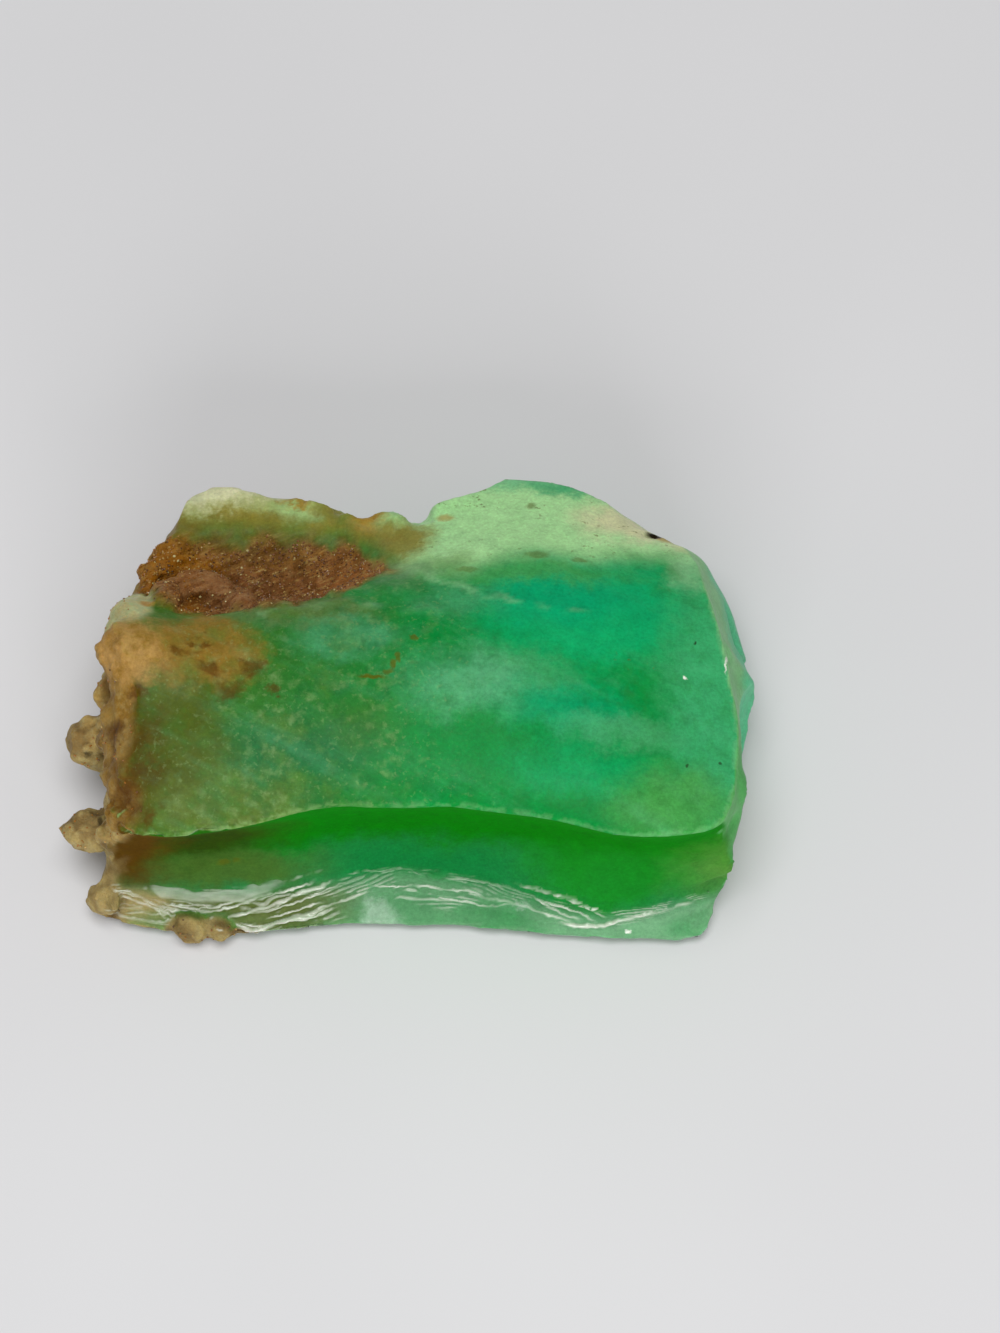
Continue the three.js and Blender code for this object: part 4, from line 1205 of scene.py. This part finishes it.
def grain_material(colours):
    """Small glassy crystals, each with its own tone."""
    tree = Tree("grains", colours)
    tone = tree.attribute("tone")
    x, _, _ = tree.axes(tree.place)
    dark = tree.mix(tree.step(x, -14.0, -11.0), "orange_brown", "mauve_brown")
    colour = tree.over(
        tree.mix(tree.step(tone, 0.0, 0.35), "crease", dark),
        (tree.step(tone, 0.6, 1.1), "tan"),
        # The few straw grains stand for the pocket's sparkle: pale crystals, and painted glints as well.
        (tree.step(tone, 0.975, 0.985), "straw"),
    )
    return tree.finish(tree.shader(colour, 0.42 - 0.2 * tone, IOR=1.54))


def floor_material():
    tree = Tree("pale_floor")
    colour = tree.mix(tree.noise(60.0, 2.0, 0.5), linear(206, 206, 208), linear(222, 222, 224))
    return tree.finish(tree.shader(colour, 0.6, Specular_IOR_Level=0.2))


# ---------------------------------------------------------------- settings


def amount(name, description, default, least=None, most=None, **more):
    """A number for a panel, with its limits."""
    for limit, value in (("min", least), ("max", most)):
        if value is not None:
            more[limit] = value
    return FloatProperty(name=name, description=description, default=default, **more)


class StoneSettings(bpy.types.PropertyGroup):
    cell: amount("Cell", "Size of the mesh's cells, mm", 0.31, 0.2, 1.0)
    swell: amount("Swell", "Unevenness of the smooth faces", 1.0, 0.0, 3.0)
    chip_depth: amount("Chip depth", "Depth of the chips along the lip, mm", 0.34, 0.0)
    crust_height: amount("Crust height", "Height of the crust's knobs, mm", 0.45, 0.0)
    pocket_height: amount("Pocket grain", "Height of the pocket's grain, mm", 0.5, 0.0)
    ripple_spacing: amount("Ripple spacing", "Distance between ripples, as a share", 1.0, 0.3)
    ripple_height: amount("Ripple height", "A ripple's height, as a share of its width", 0.5, 0.0)
    ledge_height: amount("Ledge height", "Height of the bright ledges, as a share", 1.0, 0.0)
    flake_tilt: amount("Flake tilt", "Slope of the smooth flake against the foot", 0.25)
    glow: amount("Glow", "Share of light that passes into the stone", 0.5, 0.0, 1.0)
    glow_depth: amount("Glow depth", "How far light travels in the stone, mm", 1.3, 0.0)


class GrainSettings(bpy.types.PropertyGroup):
    density: amount("Density", "Grains on a square millimetre where they are thickest", 15.0, 0.0)
    smallest: amount("Smallest", "Smallest grain's radius, mm", 0.035, 0.0)
    largest: amount("Largest", "Largest grain's radius, mm", 0.11, 0.0)
    seed: IntProperty(name="Seed", description="Another scatter of the same grains", default=7)


# The stone's named colours: where each is used, and how it looks on screen, 0 to 255.
COLOURS = (
    ("green", "Body of the stone", (38, 122, 46)),
    # This green is also the painted shade low on the back.
    ("green_bright", "Body towards the right end", (0, 137, 57)),
    ("emerald", "Clearest parts of the top face", (12, 167, 101)),
    ("teal", "Cool parts of the top face", (0, 162, 108)),
    ("sea_green", "Cool part near the lip", (20, 108, 54)),
    ("teal_deep", "Middle of the scoop", (4, 122, 52)),
    ("sea_pale", "Behind the middle of the top face", (78, 158, 108)),
    ("jade", "Lighter green at the right end and on the back", (62, 168, 108)),
    ("lime", "Yellowish green by the right corner", (78, 160, 78)),
    ("olive_lime", "Right end of the scoop", (84, 140, 54)),
    ("leaf_green", "Left of the top face", (66, 108, 26)),
    # The rear lobe and its thin edges are paler partly as painted glow of light passing through the thin
    # stone.
    ("leaf_pale", "Rear lobe", (172, 224, 156)),
    ("mint_edge", "Thin rear edges", (118, 196, 138)),
    ("olive", "Top face beside the crust", (80, 92, 20)),
    ("dark_olive", "Left of the scoop", (42, 58, 0)),
    ("drift_olive", "Drifts in the green", (92, 128, 46)),
    ("sage", "Dull green by the lip and the pocket", (98, 112, 48)),
    ("milk", "Milky clouds", (100, 180, 132)),
    ("sage_blue", "Dull cool green by the pocket", (106, 142, 98)),
    ("spot_milk", "Small pale spots", (138, 168, 106)),
    ("clay", "Rolled lobe and folds of the pocket", (160, 118, 76)),
    ("cream", "Pale corner of the rear lobe", (214, 212, 166)),
    ("wedge_green", "Pale flake beside the pocket", (178, 186, 138)),
    ("cream_olive", "Left rear lobe", (212, 212, 170)),
    ("moss", "Green of the left rear lobe", (166, 172, 102)),
    ("moss_dark", "Left of the scoop, above the foot", (70, 100, 30)),
    ("front_bright", "Right of the scoop", (14, 132, 22)),
    ("ochre_green", "Between the pocket and the rear lobe", (136, 122, 44)),
    ("ochre", "Stained bumps", (170, 126, 36)),
    ("ochre_dark", "Small stains", (90, 94, 8)),
    ("deep_green", "Under the lip", (0, 118, 0)),
    ("pale_olive", "Top of the right flank", (124, 186, 122)),
    ("blue_green", "Right flank", (96, 194, 146)),
    ("scoop_low", "Bottom of the scoop", (30, 126, 66)),
    ("foot_olive", "Left of the foot", (92, 106, 48)),
    ("foot_green", "Foot", (92, 148, 102)),
    ("foot_pale", "Right of the foot", (110, 164, 120)),
    ("taupe", "Left corner of the foot", (164, 148, 98)),
    ("haze", "Frosted patches on the foot", (166, 192, 170)),
    # Frost is partly painted glint on the ledges and ripples, and the painted reflection on the smooth
    # flake.
    ("frost", "Broken edges and ledges", (208, 214, 198)),
    # This pale colour serves a patch at the right rear corner and the faint ridges, and is the painted
    # highlight along the edges.
    ("rim", "Thin edges of the faces", (150, 196, 146)),
    # White chips are painted highlights on the right ridge and on small chips.
    ("white_chip", "White chips", (236, 240, 228)),
    ("straw", "Pale parts of the crust", (196, 184, 128)),
    ("tan", "Knobs of the crust", (182, 152, 88)),
    ("peach", "The highest knob", (176, 138, 78)),
    ("umber", "Brown stain at the left", (80, 54, 0)),
    ("tan_olive", "Stain beside the highest knob", (146, 110, 42)),
    ("brown", "Dark parts of the crust", (122, 94, 40)),
    ("rust", "Iron stains", (86, 50, 4)),
    ("rust_red", "Right of the pocket", (152, 99, 50)),
    ("orange_brown", "Left of the pocket", (148, 92, 8)),
    ("mauve_brown", "Middle of the pocket", (128, 82, 42)),
    # This dark brown is painted shade in creases, hollows and the crack, and also the tone of the darkest
    # grains.
    ("crease", "Deepest creases", (84, 50, 12)),
    # Painted shade in pits that the mesh doesn't hollow out.
    ("pit_black", "Dark pits", (34, 26, 10)),
)


def colour_property(name, description, screen):
    label = name.replace("_", " ").capitalize()
    return FloatVectorProperty(
        name=label, description=description, subtype="COLOR", min=0.0, max=1.0, default=linear(*screen)
    )


class StoneColours(bpy.types.PropertyGroup):
    __annotations__ = {row[0]: colour_property(*row) for row in COLOURS}


class StageSettings(bpy.types.PropertyGroup):
    elevation: amount(
        "Elevation", "Angle the camera looks down at", math.radians(66.0), subtype="ANGLE"
    )
    distance: amount(
        "Distance", "From the camera to its target", 269.3 * MM, subtype="DISTANCE", unit="LENGTH"
    )
    lens: amount("Lens", "Focal length, mm", 120.0)
    top_power: amount("Top light", "Power of the soft light overhead", 1.25, unit="POWER")
    front_power: amount("Front light", "Power of the low front light", 1.3, unit="POWER")
    room: amount("Room", "Brightness of the room", 0.3, 0.0)


CAMERA_TARGET = Vector((5.42, 1.62, 6.0)) * MM
LIGHT_TARGET = Vector((0.0, 0.0, 0.006))  # the middle of the stone, m

# ---------------------------------------------------------------- operators


class CHRYSOPRASE_OT_stone(bpy.types.Operator):
    """Make the finished stone over the measured solid"""

    bl_idname = "chrysoprase.stone"
    bl_label = "Stone"

    def execute(self, context):
        settings = context.scene.stone_settings
        solid = rounded_solid()
        target = evaluated_mesh(solid)
        cells = solid.modifiers.new("cells", "REMESH")
        cells.mode = "VOXEL"
        cells.voxel_size = settings.cell
        mesh = evaluated_mesh(solid)
        bpy.data.objects.remove(solid)

        # Only the outer edges chip: the lip, the flank, the rear lobes and the foot.
        edge_places = sharp_places(target)
        x, y, z = edge_places.T
        edge_places = edge_places[(y < LIP_FRONT) | (x > FLANK_FROM) | (y > REAR_FROM) | (z < LOW_EDGE)]
        x, y, z = edge_places.T
        tops = edge_places[(z > TOP_FROM) & (y < TOP_FROM)]
        # Smaller cells for the crust and the pocket, along the lip, and most of all in the ripples.
        refine(mesh, lambda p, facing: np.maximum(crust_share(p, facing), pocket_share(p)), 1)
        refine(mesh, lambda p, facing: distance_to_places(p, tops) < 0.45, 1)
        refine(mesh, lambda p, facing: ripple_share(p, front_share(p, facing)), 3)
        settle(mesh, target)
        surface = Surface(mesh)
        shares = sculpt(surface, edge_places, settings)
        mesh.vertices.foreach_set("co", (surface.points * MM).ravel())
        for name, share in shares.items():
            mesh.attributes.new(name, "FLOAT", "POINT").data.foreach_set("value", share)
        mesh.polygons.foreach_set("use_smooth", [True] * len(mesh.polygons))
        mesh.update()
        mesh.materials.clear()
        mesh.materials.append(stone_material(settings, context.scene.stone_colours))
        mesh.name = "stone"
        stone = add_object("stone", mesh)
        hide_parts(NODE)
        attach(stone, "root")
        return {"FINISHED"}


class CHRYSOPRASE_OT_grains(bpy.types.Operator):
    """Scatter fine crystals over the crust and the pocket"""

    bl_idname = "chrysoprase.grains"
    bl_label = "Grains"

    def execute(self, context):
        settings = context.scene.grain_settings
        source = add_object("grain_source", bpy.data.objects["stone"].data.copy())
        scatter = source.modifiers.new("grains", "NODES")
        scatter.node_group, sockets = grain_nodes()
        scatter[sockets["Density"]] = settings.density / MM**2
        scatter[sockets["Smallest"]] = settings.smallest * MM
        scatter[sockets["Largest"]] = settings.largest * MM
        scatter[sockets["Seed"]] = settings.seed
        scatter[sockets["Material"]] = grain_material(context.scene.stone_colours)
        mesh = evaluated_mesh(source)
        bpy.data.objects.remove(source)
        if not mesh.vertices:
            raise RuntimeError("no grains were made")
        places = read_rows(mesh.vertices, "co", 3, float)
        mesh.vertices.foreach_set("co", np.clip(places, *CAD_BOX).ravel())
        mesh.update()
        mesh.name = "grains"
        grains = add_object("grains", mesh)
        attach(grains, "root")
        return {"FINISHED"}


def area_light(name, place, size, power):
    data = bpy.data.lights.new(name, "AREA")
    data.shape = "RECTANGLE"
    data.size, data.size_y = size
    data.energy = power
    light = add_object(name, data)
    light.location = place
    light.rotation_euler = (LIGHT_TARGET - Vector(place)).to_track_quat("-Z", "Y").to_euler()


class CHRYSOPRASE_OT_stage(bpy.types.Operator):
    """Make the pale floor, the soft lights and the camera"""

    bl_idname = "chrysoprase.stage"
    bl_label = "Stage"

    def execute(self, context):
        scene = context.scene
        settings = scene.stage_settings

        mesh = bpy.data.meshes.new("floor")
        corners = [(x * FLOOR_HALF, y * FLOOR_HALF, 0) for x, y in ((-1, -1), (1, -1), (1, 1), (-1, 1))]
        mesh.from_pydata(corners, [], [(0, 1, 2, 3)])
        mesh.materials.append(floor_material())
        floor = add_object("floor", mesh)

        area_light("top_light", (-0.02, -0.04, 0.46), (0.26, 0.26), settings.top_power)
        area_light("front_light", (0.03, -0.46, 0.21), (0.32, 0.2), settings.front_power)

        world = bpy.data.worlds.new("soft_room")
        world.use_nodes = True
        air = world.node_tree.nodes["Background"].inputs
        air["Color"].default_value = (1.0, 0.99, 0.97, 1.0)
        air["Strength"].default_value = settings.room
        scene.world = world

        data = bpy.data.cameras.new("camera")
        data.lens = settings.lens
        data.sensor_width = 36.0
        data.clip_start = 0.01
        camera = add_object("camera", data)
        tilt = settings.elevation
        back = Vector((0.0, -math.cos(tilt), math.sin(tilt)))
        camera.location = CAMERA_TARGET + back * settings.distance
        camera.rotation_euler = (math.pi / 2 - tilt, 0.0, 0.0)
        scene.camera = camera
        scene.view_settings.view_transform = "Standard"
        return {"FINISHED"}


class CHRYSOPRASE_PT_panel(bpy.types.Panel):
    """Lists the stone's steps and settings"""

    bl_label = "Chrysoprase"
    bl_idname = "CHRYSOPRASE_PT_panel"
    bl_space_type = "VIEW_3D"
    bl_region_type = "UI"
    bl_category = "Chrysoprase"

    def draw(self, context):
        layout = self.layout
        for operator in OPERATORS:
            layout.operator(operator.bl_idname)
        for group in SETTINGS:
            settings = getattr(context.scene, group)
            box = layout.box()
            for name in settings.__annotations__:
                box.prop(settings, name)


SETTINGS = {
    "stone_settings": StoneSettings,
    "grain_settings": GrainSettings,
    "stone_colours": StoneColours,
    "stage_settings": StageSettings,
}
OPERATORS = (CHRYSOPRASE_OT_stone, CHRYSOPRASE_OT_grains, CHRYSOPRASE_OT_stage)


def register():
    for group in (*SETTINGS.values(), *OPERATORS, CHRYSOPRASE_PT_panel):
        bpy.utils.register_class(group)
    for name, group in SETTINGS.items():
        setattr(bpy.types.Scene, name, PointerProperty(type=group))


def unregister():
    for name in SETTINGS:
        delattr(bpy.types.Scene, name)
    for group in (CHRYSOPRASE_PT_panel, *reversed(OPERATORS), *reversed(list(SETTINGS.values()))):
        bpy.utils.unregister_class(group)


def main():
    register()
    bpy.ops.chrysoprase.stone()
    bpy.ops.chrysoprase.grains()
    bpy.ops.chrysoprase.stage()
    bpy.context.view_layer.update()


if __name__ == "__main__":
    main()
